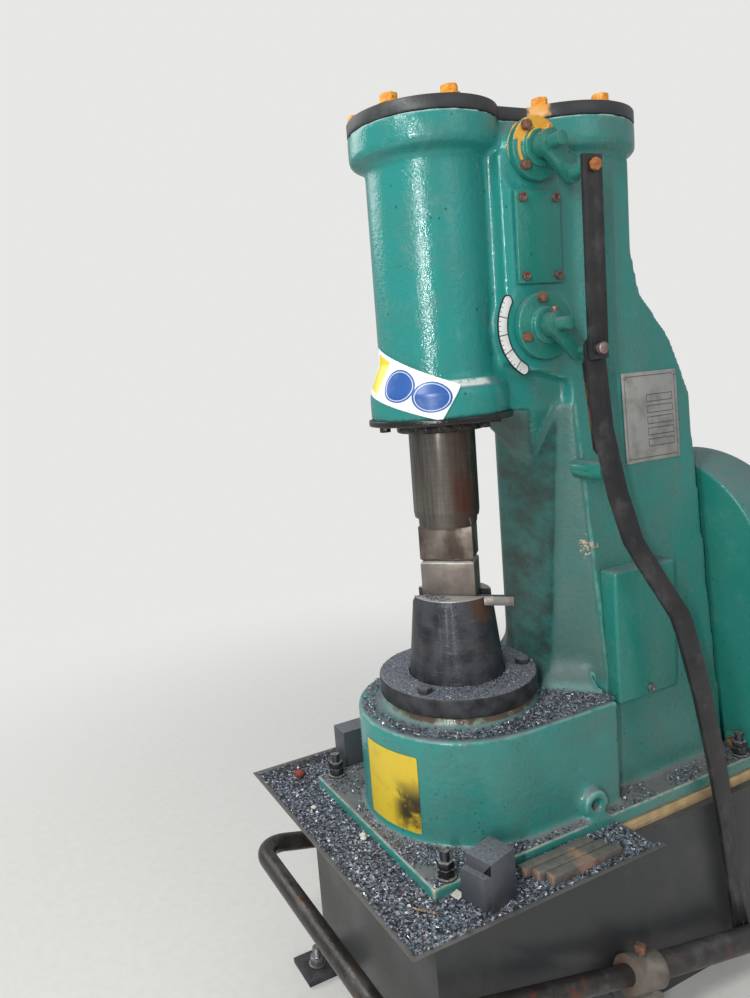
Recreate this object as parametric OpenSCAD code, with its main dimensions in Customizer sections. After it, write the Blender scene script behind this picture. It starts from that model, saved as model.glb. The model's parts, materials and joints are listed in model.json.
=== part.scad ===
// Self-contained pneumatic forging hammer of the small, one-casting kind,
// bolted through timber packing to a fabricated steel stand with a scale tray.
// Origin: on the floor, straight under the ram. +Z is up, the ram side faces -Y,
// and the valve levers are on the +X side.

/* [Stand] */
// Height of the stand from the floor to its top plate
stand_h = 250; // [180:5:400]
// How far the stand's top stands out round the casting's flange
stand_margin = 9; // [4:1:20]
// Thickness of the stand's plates
stand_t = 8; // [5:1:12]
// Thickness of the timber packing under the casting
packing_t = 16; // [8:1:40]
// Width of each timber
packing_w = 60; // [40:2:90]
// Length of each floor tab
tab_l = 58; // [44:1:80]
// Width of each floor tab
tab_w = 60; // [44:1:80]
// Thickness of the floor tabs
tab_t = 8; // [5:1:12]
// Radius of the anchor holes in the floor tabs
anchor_r = 7; // [5:0.5:9]
// Distance between the floor tabs across the stand
tab_pitch = 260; // [220:2:270]

/* [Scale tray] */
// How far the tray flares out beyond the stand
tray_out = 68; // [40:1:90]
// Height that the flared side climbs
tray_rise = 31; // [20:1:50]
// Thickness of the tray's sheet
tray_t = 3; // [2:0.5:5]
// Where the tray's two sides end behind the ram
tray_end = 132; // [60:2:200]
// How deep the forge scale lies in the tray
scale_depth = 22; // [10:1:28]

/* [Base casting] */
// How far the base flange stands out round the pedestal
flange_margin = 18; // [15:1:30]
// How far the base flange reaches behind the column's back
flange_behind = 38; // [30:2:50]
// Thickness of the base flange
flange_t = 20; // [14:1:30]
// Radius of the anvil pedestal
pedestal_r = 141; // [130:1:148]
// Height of the pedestal above the base flange
pedestal_h = 144; // [110:2:180]
// Height of the register ring that the clamp ring sits on
register_h = 13; // [6:1:20]
// Radius of the register ring
register_r = 101; // [96:1:104]

/* [Column] */
// Half width of the column at its foot
column_foot = 116; // [106:1:126]
// Half width of the column at the height of the guide
column_top = 84; // [78:1:88]
// Distance from the ram to the column's flat back
column_back = 392; // [380:2:400]
// Half width of the column's nose at its foot
nose_foot = 40; // [30:1:60]
// Half width of the column's nose at the guide
nose_top = 64; // [50:1:70]
// Distance from the ram to the nose at the foot
nose_foot_y = 118; // [114:1:140]
// Distance from the ram to the nose at the guide
nose_top_y = 140; // [120:1:146]

/* [Cylinders] */
// Height of the casting's top face above its base
cast_h = 914; // [880:2:960]
// Height of the underside of the ram's cylinder above the base
guide_h = 556; // [540:2:580]
// Outer radius of the ram's cylinder
front_r = 76; // [70:1:80]
// Radius of its top collar and of the front of the top plate
front_collar_r = 95; // [92:1:108]
// Radius of its lower ring
front_ring_r = 91; // [84:1:96]
// Height of the lower ring
front_ring_h = 34; // [20:1:50]
// Distance from the ram to the air pump's cylinder
pump_y = 205; // [195:1:215]
// Outer radius of the air pump's cylinder
pump_r = 92; // [80:1:98]
// Radius of the pump's collar and of the rear of the top plate
pump_collar_r = 111; // [104:1:118]
// Height of both collars
collar_h = 34; // [24:1:50]
// Thickness of the top plate
top_plate_t = 16; // [10:1:22]

/* [Ram and dies] */
// Radius of the ram
ram_r = 44; // [40:0.5:46]
// Running clearance round the ram
ram_gap = 0.4; // [0.2:0.1:0.8]
// Travel of the ram
stroke = 130; // [100:5:135]
// Length of the ram that stays in its cylinder at the bottom of the travel, less the travel
ram_hold = 67; // [50:1:75]
// Length of a die across its working face
die_l = 72; // [60:1:80]
// Width of a die
die_w = 45; // [36:1:52]
// Height of a die above its dovetail
die_h = 47; // [36:1:60]
// Depth of the dovetails
dove_h = 12; // [8:1:14]
// Gap left between the die faces at rest
die_gap = 0.4; // [0.2:0.1:1]
// Turn of the dies about the ram
die_turn = 45; // [0:5:90]

/* [Anvil] */
// Radius of the clamp ring
clamp_r = 108; // [104:1:110]
// Thickness of the clamp ring
clamp_t = 26; // [18:1:36]
// Height of the anvil's cone above the clamp ring
cone_h = 111; // [90:1:130]
// Radius of the cone at the clamp ring
cone_foot_r = 65; // [60:1:72]
// Radius of the cone at its top
cone_top_r = 53; // [50:1:58]

/* [Valves] */
// Distance from the ram to the valve shafts
valve_y = 100; // [96:1:104]
// Distance of the upper valve shaft below the casting's top face
upper_valve_drop = 42; // [38:1:48]
// Height of the lower valve shaft above the casting's base
lower_valve_h = 659; // [650:1:670]
// Radius of the valve shafts
shaft_r = 8; // [6:0.5:9]
// Radius of the valve covers' flanges
valve_flange_r = 42; // [36:1:44]
// Thickness of those flanges
valve_flange_t = 11; // [7:1:14]
// How far the valve levers reach towards the column
lever_y = 32; // [26:1:38]
// How far the valve levers reach down
lever_z = 34; // [28:1:40]
// Thickness of the link bars
bar_t = 6; // [4:0.5:8]
// Width of the link bars
bar_w = 29; // [20:1:32]
// Radius of the link pins
pin_r = 5; // [4:0.5:6]
// Outer radius of the dial strip
dial_r = 68; // [64:1:74]
// Width of the dial strip
dial_w = 16; // [12:1:18]
// Thickness of the arms of the valve levers
lever_t = 9; // [6:0.5:12]
// Radius of the hubs of the valve levers
hub_r = 16; // [14:0.5:18]

/* [Treadle] */
// Outer radius of the treadle's front loop
loop_r = 13.5; // [10:0.5:17]
// Outer radius of the treadle's rear arms
arm_r = 16.5; // [15:0.5:21]
// Distance from the stand's side to the treadle tubes' centre lines
treadle_out = 36; // [33:1:50]
// Height of the treadle's front bar
treadle_front_z = 180; // [150:5:220]
// Distance of the front bar in front of the stand
treadle_reach = 81; // [74:1:120]
// Distance of the treadle's pivot behind the ram
pivot_y = 115; // [90:1:140]
// Height of the treadle's pivot
pivot_z = 60; // [45:1:90]
// Distance of the rear link pin behind the ram
rear_pin_y = 338; // [320:1:360]

/* [Belt guard] */
// Radius of the guard's round top
guard_r = 185; // [160:1:200]
// Height of the crankshaft above the casting's base
crank_h = 270; // [260:2:300]
// Depth of the guard
guard_d = 95; // [70:1:120]

/* [Hidden] */

$fn = 72;
eps = 0.5;
seat = 0.3;
green = "#1f6e5c";
black = "#26282b";
steel = "#77787a";
dark_steel = "#3a3c40";

flange_w = 2 * (pedestal_r + flange_margin);
flange_front = pedestal_r + flange_margin;
flange_back = column_back + flange_behind;
stand_w = flange_w + 2 * stand_margin;
stand_front = flange_front + stand_margin;
stand_back = flange_back + stand_margin;
treadle_x = stand_w / 2 + treadle_out;
treadle_front_y = stand_front + treadle_reach;
base_z = stand_h + packing_t;
flange_top = base_z + flange_t;
pedestal_top = flange_top + pedestal_h;
clamp_z = pedestal_top + register_h;
clamp_top = clamp_z + clamp_t;
cone_top = clamp_top + cone_h;
die_face = cone_top + die_h;
upper_die_z = die_face + die_gap;
ram_foot = upper_die_z + die_h;
guide_z = base_z + guide_h;
ram_l = guide_z - ram_foot + stroke + ram_hold;
top_z = base_z + cast_h;
collar_z = top_z - collar_h;
ram_bore_r = ram_r + ram_gap;
chest_x = column_top + 4;
pad_t = 6;
upper_valve_z = top_z - upper_valve_drop;
lower_valve_z = base_z + lower_valve_h;
crank_z = base_z + crank_h;

// Half width of the column's sides at a height, which taper from the foot to the guide
function side_x(z) = column_foot
    + (column_top - column_foot) * min(1, (z - flange_top) / (guide_z - flange_top));

module plan(points, z, h = 1) {
    translate([0, 0, z]) linear_extrude(h) polygon(points);
}

function mirrored(half) = concat(half, [for (i = [len(half) - 1 : -1 : 0]) [-half[i][0], half[i][1]]]);

// Stand: a welded box of plate, with bores for the treadle's pivot tube
module stand_box() {
    depth = stand_front + stand_back;
    color(black) difference() {
        translate([-stand_w / 2, -stand_front, 0]) cube([stand_w, depth, stand_h]);
        translate([-stand_w / 2 + stand_t, -stand_front + stand_t, stand_t])
            cube([stand_w - 2 * stand_t, depth - 2 * stand_t, stand_h - 2 * stand_t]);
        pivot_hole(pivot_tube_r + 0.5);
    }
}

pivot_tube_r = 12;
module pivot_hole(r) {
    translate([-stand_w, pivot_y, pivot_z]) rotate([0, 90, 0]) cylinder(r = r, h = 2 * stand_w);
}

anchor_front_y = -stand_front - tab_l / 2 - 2;
anchor_back_y = stand_back + tab_l / 2 + 2;
module floor_tabs() {
    color(dark_steel) for (sx = [-1, 1], end = [0, 1]) {
        y = end == 0 ? -stand_front - tab_l : stand_back;
        difference() {
            translate([sx * tab_pitch / 2 - tab_w / 2, y, 0]) cube([tab_w, tab_l, tab_t]);
            translate([sx * tab_pitch / 2, end == 0 ? anchor_front_y : anchor_back_y, -eps])
                cylinder(r = anchor_r, h = tab_t + 2 * eps);
        }
    }
}

module wood_packing() {
    color("#c9b48a") for (sx = [-1, 1])
        translate([sx * (flange_w - packing_w) / 2 - packing_w / 2, -flange_front, stand_h])
            cube([packing_w, flange_front + flange_back, packing_t]);
}

// One flared side of the tray: its section, with the lip at the outer edge
module tray_outline(grow, z) {
    translate([-stand_w / 2 - grow, -stand_front - grow, z])
        cube([stand_w + 2 * grow, stand_front + grow + tray_end, 0.01]);
}
module tray_form(inset) {
    hull() {
        tray_outline(0.01 - inset, stand_h - 8 + inset);
        tray_outline(tray_out - inset, stand_h + tray_rise + inset);
    }
}
module scale_tray() {
    color(black) difference() {
        tray_form(0);
        translate([0, 0, tray_t + eps]) tray_form(0);
        translate([-stand_w / 2, -stand_front, 0])
            cube([stand_w, stand_front + stand_back, stand_h + 100]);
    }
}

// Forge scale lying in the tray, level with the top of the timber
module scale_bed() {
    top = stand_h + scale_depth;
    color("#3c4048") intersection() {
        difference() {
            translate([0, 0, tray_t + eps]) tray_form(0);
            translate([-stand_w / 2, -stand_front, 0])
                cube([stand_w, stand_front + stand_back, stand_h + 100]);
        }
        translate([-stand_w, -2 * stand_w, 0]) cube([2 * stand_w, 4 * stand_w, top]);
    }
}

// Lower column: its outline at a height, with a nose between bevelled flanks
ridge_foot = 60;
ridge_top = 12;
back_lean = 22;
function mix(a, b, t) = a + (b - a) * t;
function column_plan(z) = let (t = (z - flange_top) / (guide_z - flange_top))
    mirrored([
        [mix(nose_foot, nose_top, t), mix(nose_foot_y, nose_top_y, t)],
        [side_x(z), mix(nose_foot_y + ridge_foot, nose_top_y + ridge_top, t)],
        [side_x(z), mix(column_back, column_back - back_lean, t)]]);
module column_form(z0, z1) {
    hull() {
        plan(column_plan(z0), z0, 0.01);
        plan(column_plan(z1), z1 - 0.01, 0.01);
    }
}

// Flare at the column's foot, where its flanks run out on to the pedestal
flare = 24;
flare_h = 44;
pedestal_end = nose_foot_y + 36;
module flare_layer(i) {
    out = flare * pow(1 - i / 3, 2);
    z = pedestal_top + flare_h * i / 3;
    translate([0, 0, z]) linear_extrude(0.01) offset(delta = out) polygon(column_plan(z));
}
module column_flare() {
    intersection() {
        difference() {
            for (i = [0 : 2]) hull() {
                flare_layer(i);
                flare_layer(i + 1);
            }
            translate([0, 0, pedestal_top - eps]) cylinder(r = clamp_r + 7, h = flare_h + 2 * eps);
        }
        translate([-pedestal_r, 0, pedestal_top]) cube([2 * pedestal_r, pedestal_end, flare_h]);
    }
}

// Web between the guide and the column's nose
web_h = 78;
module neck_web() {
    hull() {
        plan(mirrored([[nose_top, front_ring_r + gland_lip + 3], [nose_top, nose_top_y + 20]]),
            guide_z - 0.01, 0.01);
        plan(mirrored([[18, nose_top_y - 4], [18, nose_top_y + 20]]), guide_z - web_h, 0.01);
    }
}

module column() {
    color(green) {
        column_form(pedestal_top, guide_z);
        column_flare();
        neck_web();
    }
}

module pedestal() {
    translate([0, 0, flange_top - 1]) cylinder(r = pedestal_r, h = pedestal_h + 1);
    translate([-pedestal_r, 0, flange_top - 1])
        cube([2 * pedestal_r, pedestal_end, pedestal_h + 1]);
    translate([0, 0, pedestal_top - 1]) cylinder(r = register_r, h = register_h + 1);
}

collar_slope_h = 9;
module front_cylinder() {
    translate([0, 0, guide_z]) cylinder(r = front_r, h = top_z - guide_z);
    translate([0, 0, guide_z]) cylinder(r = front_ring_r, h = front_ring_h);
    translate([0, 0, guide_z + front_ring_h])
        cylinder(r1 = front_ring_r, r2 = front_r, h = 14);
    translate([0, 0, collar_z]) cylinder(r = front_collar_r, h = collar_h);
    translate([0, 0, collar_z - collar_slope_h])
        cylinder(r1 = front_r, r2 = front_collar_r, h = collar_slope_h);
}

module pump_cylinder() {
    translate([0, pump_y, guide_z + 40]) cylinder(r = pump_r, h = top_z - guide_z - 40);
    translate([0, pump_y, collar_z]) cylinder(r = pump_collar_r, h = collar_h);
    translate([0, pump_y, collar_z - collar_slope_h])
        cylinder(r1 = pump_r, r2 = pump_collar_r, h = collar_slope_h);
}

boss_y = 100;
boss_z = flange_top + 18;
boss_out_x = 14;
boss_hole_r = 8;
boss_hole_l = 40;
module lifting_bosses() {
    translate([-pedestal_r - boss_out_x, boss_y, boss_z]) rotate([0, 90, 0])
        cylinder(r = 20, h = 2 * (pedestal_r + boss_out_x));
}

// Foot of the machine: flange, anvil pedestal and the column's foot. In the real machine it
// is one casting with the column and the cylinders; here they are three nodes
module base_casting() {
    color(green) difference() {
        union() {
            translate([-flange_w / 2, -flange_front, base_z])
                cube([flange_w, flange_front + flange_back, flange_t]);
            pedestal();
            column_form(flange_top - 1, pedestal_top);
            lifting_bosses();
        }
        for (side = [0, 1]) mirror([side, 0, 0])
            translate([pedestal_r + boss_out_x - boss_hole_l, boss_y, boss_z]) rotate([0, 90, 0])
                cylinder(r = boss_hole_r, h = boss_hole_l + eps);
        translate([0, 0, pedestal_top - 20])
            cylinder(r = anvil_stem_r + seat, h = register_h + 40);
    }
}

// Upper column: seen from the side it leans in from the crankcase to the pump's cylinder
rear_y = 265;
module upper_column() {
    top_back = column_back - back_lean;
    translate([column_top, 0, 0]) rotate([90, 0, -90]) mirror([1, 0, 0])
        linear_extrude(2 * column_top) polygon([
            [nose_top_y + ridge_top, guide_z], [top_back, guide_z], [top_back - 35, guide_z + 74],
            [rear_y + 14, guide_z + 140], [rear_y, guide_z + 200], [rear_y, collar_z - 10],
            [valve_y - 48, collar_z - 10], [valve_y - 48, guide_z + 60],
            [nose_top_y + ridge_top, guide_z + 30]]);
}

// Pads on the valve side: one for the flat cover and a round one for each valve
module side_pads() {
    for (valve = [[upper_valve_z, upper_flange_r], [lower_valve_z, dial_r - dial_w + dial_hold]])
        translate([nose_top - 10, valve_y, valve[0]]) rotate([0, 90, 0])
            cylinder(r = valve[1], h = chest_x - nose_top + 10);
    translate([column_top - 1, cover_y - pad_rim, upper_cover_low - pad_rim])
        cube([chest_x - column_top + 1, upper_cover_w + 2 * pad_rim,
            upper_cover_h + 2 * pad_rim]);
}

module cylinder_block() {
    color(green) difference() {
        union() {
            upper_column();
            plan(mirrored([[nose_top, 40], [nose_top, nose_top_y + 20]]), guide_z,
                front_ring_h + 30);
            front_cylinder();
            pump_cylinder();
            side_pads();
            translate([-nose_top, 0, top_z - 60]) cube([2 * nose_top, pump_y, 60]);
        }
        translate([0, 0, guide_z - eps])
            cylinder(r = ram_bore_r, h = top_z - guide_z + 2 * eps);
    }
}

// Top plate over both cylinders
module top_plate() {
    color(black) translate([0, 0, top_z]) {
        cylinder(r = front_collar_r, h = top_plate_t);
        translate([0, pump_y, 0]) cylinder(r = pump_collar_r, h = top_plate_t);
        translate([-nose_top, 0, 0]) cube([2 * nose_top, pump_y, top_plate_t]);
    }
}

gland_t = 8;
gland_lip = 4;
packing_ring_h = 12;
module gland_ring() {
    color(black) translate([0, 0, guide_z - gland_t]) difference() {
        cylinder(r = front_ring_r + gland_lip, h = gland_t);
        translate([0, 0, -eps]) cylinder(r = ram_bore_r, h = gland_t + 2 * eps);
    }
}
module ram_packing() {
    color("#1a1815") translate([0, 0, guide_z - gland_t - packing_ring_h]) difference() {
        cylinder(r = ram_r + 15, h = packing_ring_h);
        translate([0, 0, -eps]) cylinder(r = ram_bore_r, h = packing_ring_h + 2 * eps);
    }
}

// Anvil: the sow block stands in the pedestal and the clamp ring holds it down
anvil_stem_r = 78;
stem_flange_h = 14;
module clamp_ring() {
    color(dark_steel) translate([0, 0, clamp_z]) difference() {
        cylinder(r = clamp_r, h = clamp_t);
        translate([0, 0, -eps]) cylinder(r = cone_foot_r + seat, h = clamp_t + 2 * eps);
        translate([0, 0, -eps]) cylinder(r = anvil_stem_r + seat, h = stem_flange_h + eps + seat);
    }
}
module dovetail(l, w, h, grow = 0) {
    rotate([90, 0, 0]) rotate([0, 90, 0]) translate([0, 0, -l / 2]) linear_extrude(l)
        polygon([[-w / 2 + dove_lean - grow, grow > 0 ? 0.1 : 0], [w / 2 - dove_lean + grow,
            grow > 0 ? 0.1 : 0], [w / 2 + grow, -h - grow], [-w / 2 - grow, -h - grow]]);
}
dove_lean = dove_h * 0.27;
dove_w = 38;
key_w = 8;
key_out = 54;
module turned() {
    rotate([0, 0, die_turn]) children();
}
module die_slot() {
    turned() translate([0, -key_w / 2, 0])
        dovetail(4 * clamp_r, dove_w + key_w, dove_h, seat);
}
module sow_block() {
    color(dark_steel) difference() {
        union() {
            translate([0, 0, pedestal_top - 18])
                cylinder(r = anvil_stem_r, h = 18 + register_h + stem_flange_h);
            translate([0, 0, clamp_z + stem_flange_h - 1])
                cylinder(r = cone_foot_r, h = clamp_t - stem_flange_h + 1);
            translate([0, 0, clamp_top]) cylinder(r1 = cone_foot_r, r2 = cone_top_r, h = cone_h);
        }
        translate([0, 0, cone_top]) die_slot();
    }
}

// A die: a block with one dovetailed side, and eased edges round its face
module die_block(h) {
    ease = 3;
    turned() {
        translate([-die_l / 2, -die_w / 2, 0]) cube([die_l, die_w, h - ease]);
        hull() {
            translate([-die_l / 2, -die_w / 2, h - ease - 0.01]) cube([die_l, die_w, 0.01]);
            translate([-die_l / 2 + ease, -die_w / 2 + ease, h - 0.01])
                cube([die_l - 2 * ease, die_w - 2 * ease, 0.01]);
        }
        dovetail(die_l - 2, dove_w, dove_h);
    }
}
module lower_die() {
    color(steel) translate([0, 0, cone_top]) die_block(die_h);
}
module upper_die() {
    color(steel) translate([0, 0, ram_foot]) rotate([180, 0, 0]) mirror([0, 1, 0])
        die_block(die_h);
}

// The taper key between a die's dovetail and its slot, driven in from one side
module key_bar(out) {
    turned() mirror([0, 1, 0]) translate([-die_l / 2 + 4, dove_w / 2, 0]) rotate([90, 0, 0])
        rotate([0, 90, 0]) linear_extrude(die_l - 8 + out) polygon([[0.1, -dove_h],
            [key_w - 0.1, -dove_h], [key_w - dove_lean - 0.1, 0], [0.1 - dove_lean, 0]]);
}
module lower_die_key() {
    color(steel) translate([0, 0, cone_top]) key_bar(key_out);
}
module upper_die_key() {
    color(steel) translate([0, 0, ram_foot]) mirror([0, 0, 1]) key_bar(0);
}

// Ram: a plain round bar with a bevelled foot, slotted for the upper die
ram_bevel_h = 20;
ram_foot_r = 37;
module ram() {
    color(steel) difference() {
        translate([0, 0, ram_foot]) union() {
            cylinder(r1 = ram_foot_r + 4, r2 = ram_r, h = ram_bevel_h);
            translate([0, 0, ram_bevel_h]) cylinder(r = ram_r, h = ram_l - ram_bevel_h);
        }
        translate([0, 0, ram_foot]) mirror([0, 0, 1]) die_slot();
    }
}

// Valve covers: round flanges with a boss that carries the shaft
upper_flange_r = 38;
cover_boss_r = 23;
boss_out = 6;
cover_out = valve_flange_t + boss_out;
hub_gap = 1.5;
hub_l = 17;
hub_x = chest_x + cover_out + hub_gap;
lever_x = hub_x + hub_l - lever_t;
shaft_out = 18;
shaft_in = 8;
module valve_cover(z, r) {
    translate([chest_x, valve_y, z]) rotate([0, 90, 0]) difference() {
        union() {
            cylinder(r = r, h = valve_flange_t);
            cylinder(r = cover_boss_r, h = cover_out);
        }
        translate([0, 0, shaft_in - 3]) cylinder(r = shaft_r + 0.1, h = cover_out);
    }
}
module upper_valve_cover() {
    color(green) valve_cover(upper_valve_z, upper_flange_r);
}
module lower_valve_cover() {
    color(green) valve_cover(lower_valve_z, valve_flange_r);
}

// Dial plate: a curved strip with round ends, fixed along its inner edge to the valve's pad
dial_t = 1.5;
dial_hold = 5;
dial_start = 147;
dial_end = 240;
module dial_plate() {
    middle_r = dial_r - dial_w / 2;
    color("white") translate([chest_x, valve_y, lower_valve_z]) rotate([0, 90, 0])
        linear_extrude(dial_t) union() {
            intersection() {
                difference() {
                    circle(r = dial_r);
                    circle(r = dial_r - dial_w);
                }
                polygon(concat([[0, 0]], [for (a = [dial_start, (dial_start + dial_end) / 2, dial_end])
                    2 * dial_r * [-sin(a), cos(a)]]));
            }
            for (a = [dial_start, dial_end]) translate(middle_r * [-sin(a), cos(a)])
                circle(r = dial_w / 2);
        }
}

cover_gap = 10.5;
upper_cover_low = lower_valve_z + valve_flange_r + cover_gap;
upper_cover_high = upper_valve_z - upper_flange_r - cover_gap;
upper_cover_h = upper_cover_high - upper_cover_low;
upper_cover_w = 70;
cover_y = valve_y - 34;
pad_rim = 5;
module upper_side_cover() {
    color(green) translate([chest_x, cover_y, upper_cover_low])
        cube([pad_t, upper_cover_w, upper_cover_h]);
}

lower_cover_y = nose_foot_y + ridge_foot - 6;
lower_cover_z = pedestal_top - 18;
lower_cover_h = 184;
lower_cover_w = 112;
lower_cover_out = 30;
module lower_side_cover() {
    top_x = side_x(lower_cover_z + lower_cover_h);
    color(green) difference() {
        translate([top_x - lower_cover_out / 2, lower_cover_y, lower_cover_z])
            cube([1.5 * lower_cover_out, lower_cover_w, lower_cover_h]);
        column_form(flange_top, guide_z);
    }
}

name_y = 238;
name_z = guide_z - 92;
name_h = 124;
name_w = 104;
module nameplate() {
    lean = atan2(side_x(name_z) - column_top, name_h);
    color("#b9bbb8") translate([side_x(name_z) + seat, name_y, name_z]) rotate([0, -lean, 0])
        cube([1.2, name_w, name_h]);
}

// Belt guard: a round-topped sheet drum that reaches down to the base flange
guard_y = column_back + 6;
module guard_shape(r, z0) {
    intersection() {
        union() {
            translate([0, crank_z]) circle(r = r);
            translate([-r, z0]) square([2 * r, crank_z - z0]);
        }
        translate([-2 * r, z0]) square([4 * r, 2 * r + crank_z]);
    }
}
module belt_guard() {
    color(green) translate([0, guard_y + guard_d, 0]) rotate([90, 0, 0])
        linear_extrude(guard_d) guard_shape(guard_r, flange_top + 4);
}
bracket_w = 28;
bracket_d = 12;
bracket_h = 26;
bracket_out = 18;
module guard_bracket() {
    color(green) for (sx = [-1, 1])
        translate([sx * (column_foot + bracket_out) - bracket_w / 2, guard_y - bracket_d, flange_top])
            cube([bracket_w, bracket_d, bracket_h]);
}

// Boss on the column that anchors the return spring, with its pin
spring_y = 148;
spring_r = 6;
spring_x = lever_x + lever_t + spring_r + 1;
spring_boss_drop = 86;
boss_spring_z = guide_z - spring_boss_drop;
spring_boss_r = 13;
spring_foot_z = boss_spring_z + spring_boss_r + seat;
module spring_boss() {
    x0 = side_x(boss_spring_z) - 6;
    color(green) difference() {
        translate([x0, spring_y + 8, boss_spring_z]) rotate([0, 90, 0])
            cylinder(r = spring_boss_r, h = spring_x + spring_r + eps - x0);
        column_form(flange_top, guide_z);
    }
}
module return_spring() {
    reach = [valve_y + lever_y - spring_y, lower_valve_z - lever_z - spring_foot_z];
    lean = -atan2(reach[0], reach[1]);
    spring_l = norm(reach) - pin_r - seat;
    color("#6e4a35") translate([spring_x, spring_y, spring_foot_z])
        rotate([lean, 0, 0]) cylinder(r = spring_r, h = spring_l);
}

// A spare die lies in the tray beside the pedestal, and a plain block stands on the far side
spare_w = 36;
spare_d = 44;
spare_h = 62;
spare_y = 100;
spare_gap = 5.5;
spare_turn = 15;
block_d = 48;
block_h = 68;
block_y = 108;
module spare_dies() {
    top = stand_h + scale_depth;
    color(steel) {
        translate([stand_w / 2 + spare_w / 2 + spare_gap, -spare_y, top])
            rotate([0, 0, spare_turn]) {
                translate([-spare_w / 2, -spare_d / 2, 0]) cube([spare_w, spare_d, spare_h]);
                translate([0, -spare_d / 2, spare_h / 2]) rotate([90, 0, 0]) rotate([0, 180, 0])
                    dovetail(spare_w - 1, dove_w, dove_h);
            }
        translate([-flange_w / 2 - spare_w + eps, -block_y, top])
            cube([spare_w - 2, block_d, block_h]);
    }
}
spare_key = [13, 110, 12];
spare_key_pitch = 14.5;
spare_key_gap = 2.5;
spare_key_y = 46;
spare_key_step = 9;
module spare_keys() {
    top = stand_h + scale_depth;
    color("#7a5a45") for (i = [0 : 2])
        translate([stand_w / 2 + spare_key_gap + spare_key_pitch * i,
            spare_key_step * i - spare_key_y, top]) cube(spare_key);
}

bearing_t = 10;
bearing_r = 26;
module treadle_bearings() {
    color(dark_steel) for (sx = [-1, 1]) difference() {
        translate([sx > 0 ? stand_w / 2 : -stand_w / 2 - bearing_t, pivot_y, pivot_z])
            rotate([0, 90, 0]) cylinder(r = bearing_r, h = bearing_t);
        pivot_hole(pivot_tube_r + 0.1);
    }
}

// Treadle: the loop's sides slope down to clamps on the pivot tube
tee_r = 24;
tee_l = 24;
socket_r = 18;
socket_l = 40;
clamp_rise = 33;
clamp_y = pivot_y;
clamp_c = pivot_z + clamp_rise;
slope = atan2(treadle_front_z - clamp_c, treadle_front_y + clamp_y);
side_run = (treadle_front_y + clamp_y) / cos(slope);
bend_r = 45;
module tube_along_y(r, l) {
    rotate([-90, 0, 0]) cylinder(r = r, h = l);
}
module treadle_loop() {
    color(black) translate([0, clamp_y, clamp_c]) rotate([-slope, 0, 0])
        translate([0, -side_run, 0]) {
            for (sx = [-1, 1]) {
                translate([sx * treadle_x, bend_r, 0]) tube_along_y(loop_r, side_run - bend_r - tee_l);
                translate([sx * (treadle_x - bend_r), bend_r, 0]) rotate([0, 0, sx > 0 ? -90 : 180])
                    rotate_extrude(angle = 90) translate([bend_r, 0]) circle(r = loop_r);
            }
            translate([-treadle_x + bend_r, 0, 0]) rotate([0, 90, 0])
                cylinder(r = loop_r, h = 2 * (treadle_x - bend_r));
        }
}
rear_pin_z = pivot_z - 10;
arm_slope = atan2(clamp_c - rear_pin_z, rear_pin_y - clamp_y);
arm_run = (rear_pin_y - clamp_y) / cos(arm_slope);
arm_start = tee_l + seat + arm_r * abs(sin(slope - arm_slope));
module treadle_arms() {
    color(dark_steel) {
        translate([treadle_x, clamp_y, clamp_c]) rotate([-arm_slope, 0, 0])
            translate([0, arm_start, 0]) tube_along_y(arm_r, arm_run - arm_start + 18);
        translate([link_foot_x - 4, rear_pin_y, rear_pin_z]) rotate([0, 90, 0])
            cylinder(r = pin_r, h = treadle_x - link_foot_x + 4);
    }
}
module treadle_clamps() {
    color(steel) {
        for (sx = [-1, 1]) {
            translate([sx * treadle_x, clamp_y, clamp_c]) rotate([-slope, 0, 0])
                translate([0, -tee_l, 0]) tube_along_y(tee_r, 2 * tee_l);
            translate([sx * treadle_x - socket_l / 2, clamp_y, pivot_z]) rotate([0, 90, 0])
                cylinder(r = socket_r, h = socket_l);
        }
        translate([-treadle_x, pivot_y, pivot_z]) rotate([0, 90, 0])
            cylinder(r = pivot_tube_r, h = 2 * treadle_x);
    }
}

// Valve levers: a hub on the shaft and an arm that carries the link pin
lever_end_r = 13;
module valve_lever(z, pin_l) {
    shaft_x = chest_x + shaft_in;
    translate([0, valve_y, z]) {
        translate([shaft_x, 0, 0]) rotate([0, 90, 0])
            cylinder(r = shaft_r, h = hub_x + hub_l + shaft_out - shaft_x);
        translate([hub_x, 0, 0]) rotate([0, 90, 0]) cylinder(r = hub_r, h = hub_l);
        translate([lever_x, 0, 0]) rotate([90, 0, 90]) linear_extrude(lever_t) hull() {
            circle(r = hub_r - 0.5);
            translate([lever_y, -lever_z]) circle(r = lever_end_r);
        }
        translate([lever_x + 1, lever_y, -lever_z]) rotate([0, 90, 0])
            cylinder(r = pin_r, h = pin_l - 1);
    }
}
link_gap = 19;
long_x = lever_x + lever_t + link_gap;
link_x = long_x + bar_t + 1;
link_pin_l = link_x + bar_t + 4 - lever_x;
module lower_valve_lever() {
    color(dark_steel) valve_lever(lower_valve_z, link_pin_l);
}
module upper_valve_lever() {
    color(dark_steel) {
        valve_lever(upper_valve_z, link_pin_l);
        translate([lever_x + 1, link_y, link_top_z]) rotate([0, 90, 0])
            cylinder(r = pin_r + 4, h = link_x - lever_x - 2);
    }
}

link_y = valve_y + lever_y;
link_top_z = upper_valve_z - lever_z;
link_foot_z = lower_valve_z - lever_z;
link_end = 13;
pin_gap = 0.1;
open_pin_gap = 4;
module upper_link() {
    color(black) difference() {
        translate([link_x, link_y - bar_w / 2, link_foot_z - link_end])
            cube([bar_t, bar_w, link_top_z - link_foot_z + 2 * link_end]);
        for (z = [link_foot_z, link_top_z]) translate([link_x - eps, link_y, z])
            rotate([0, 90, 0]) cylinder(r = pin_r + pin_gap, h = bar_t + 2 * eps);
    }
}

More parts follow.
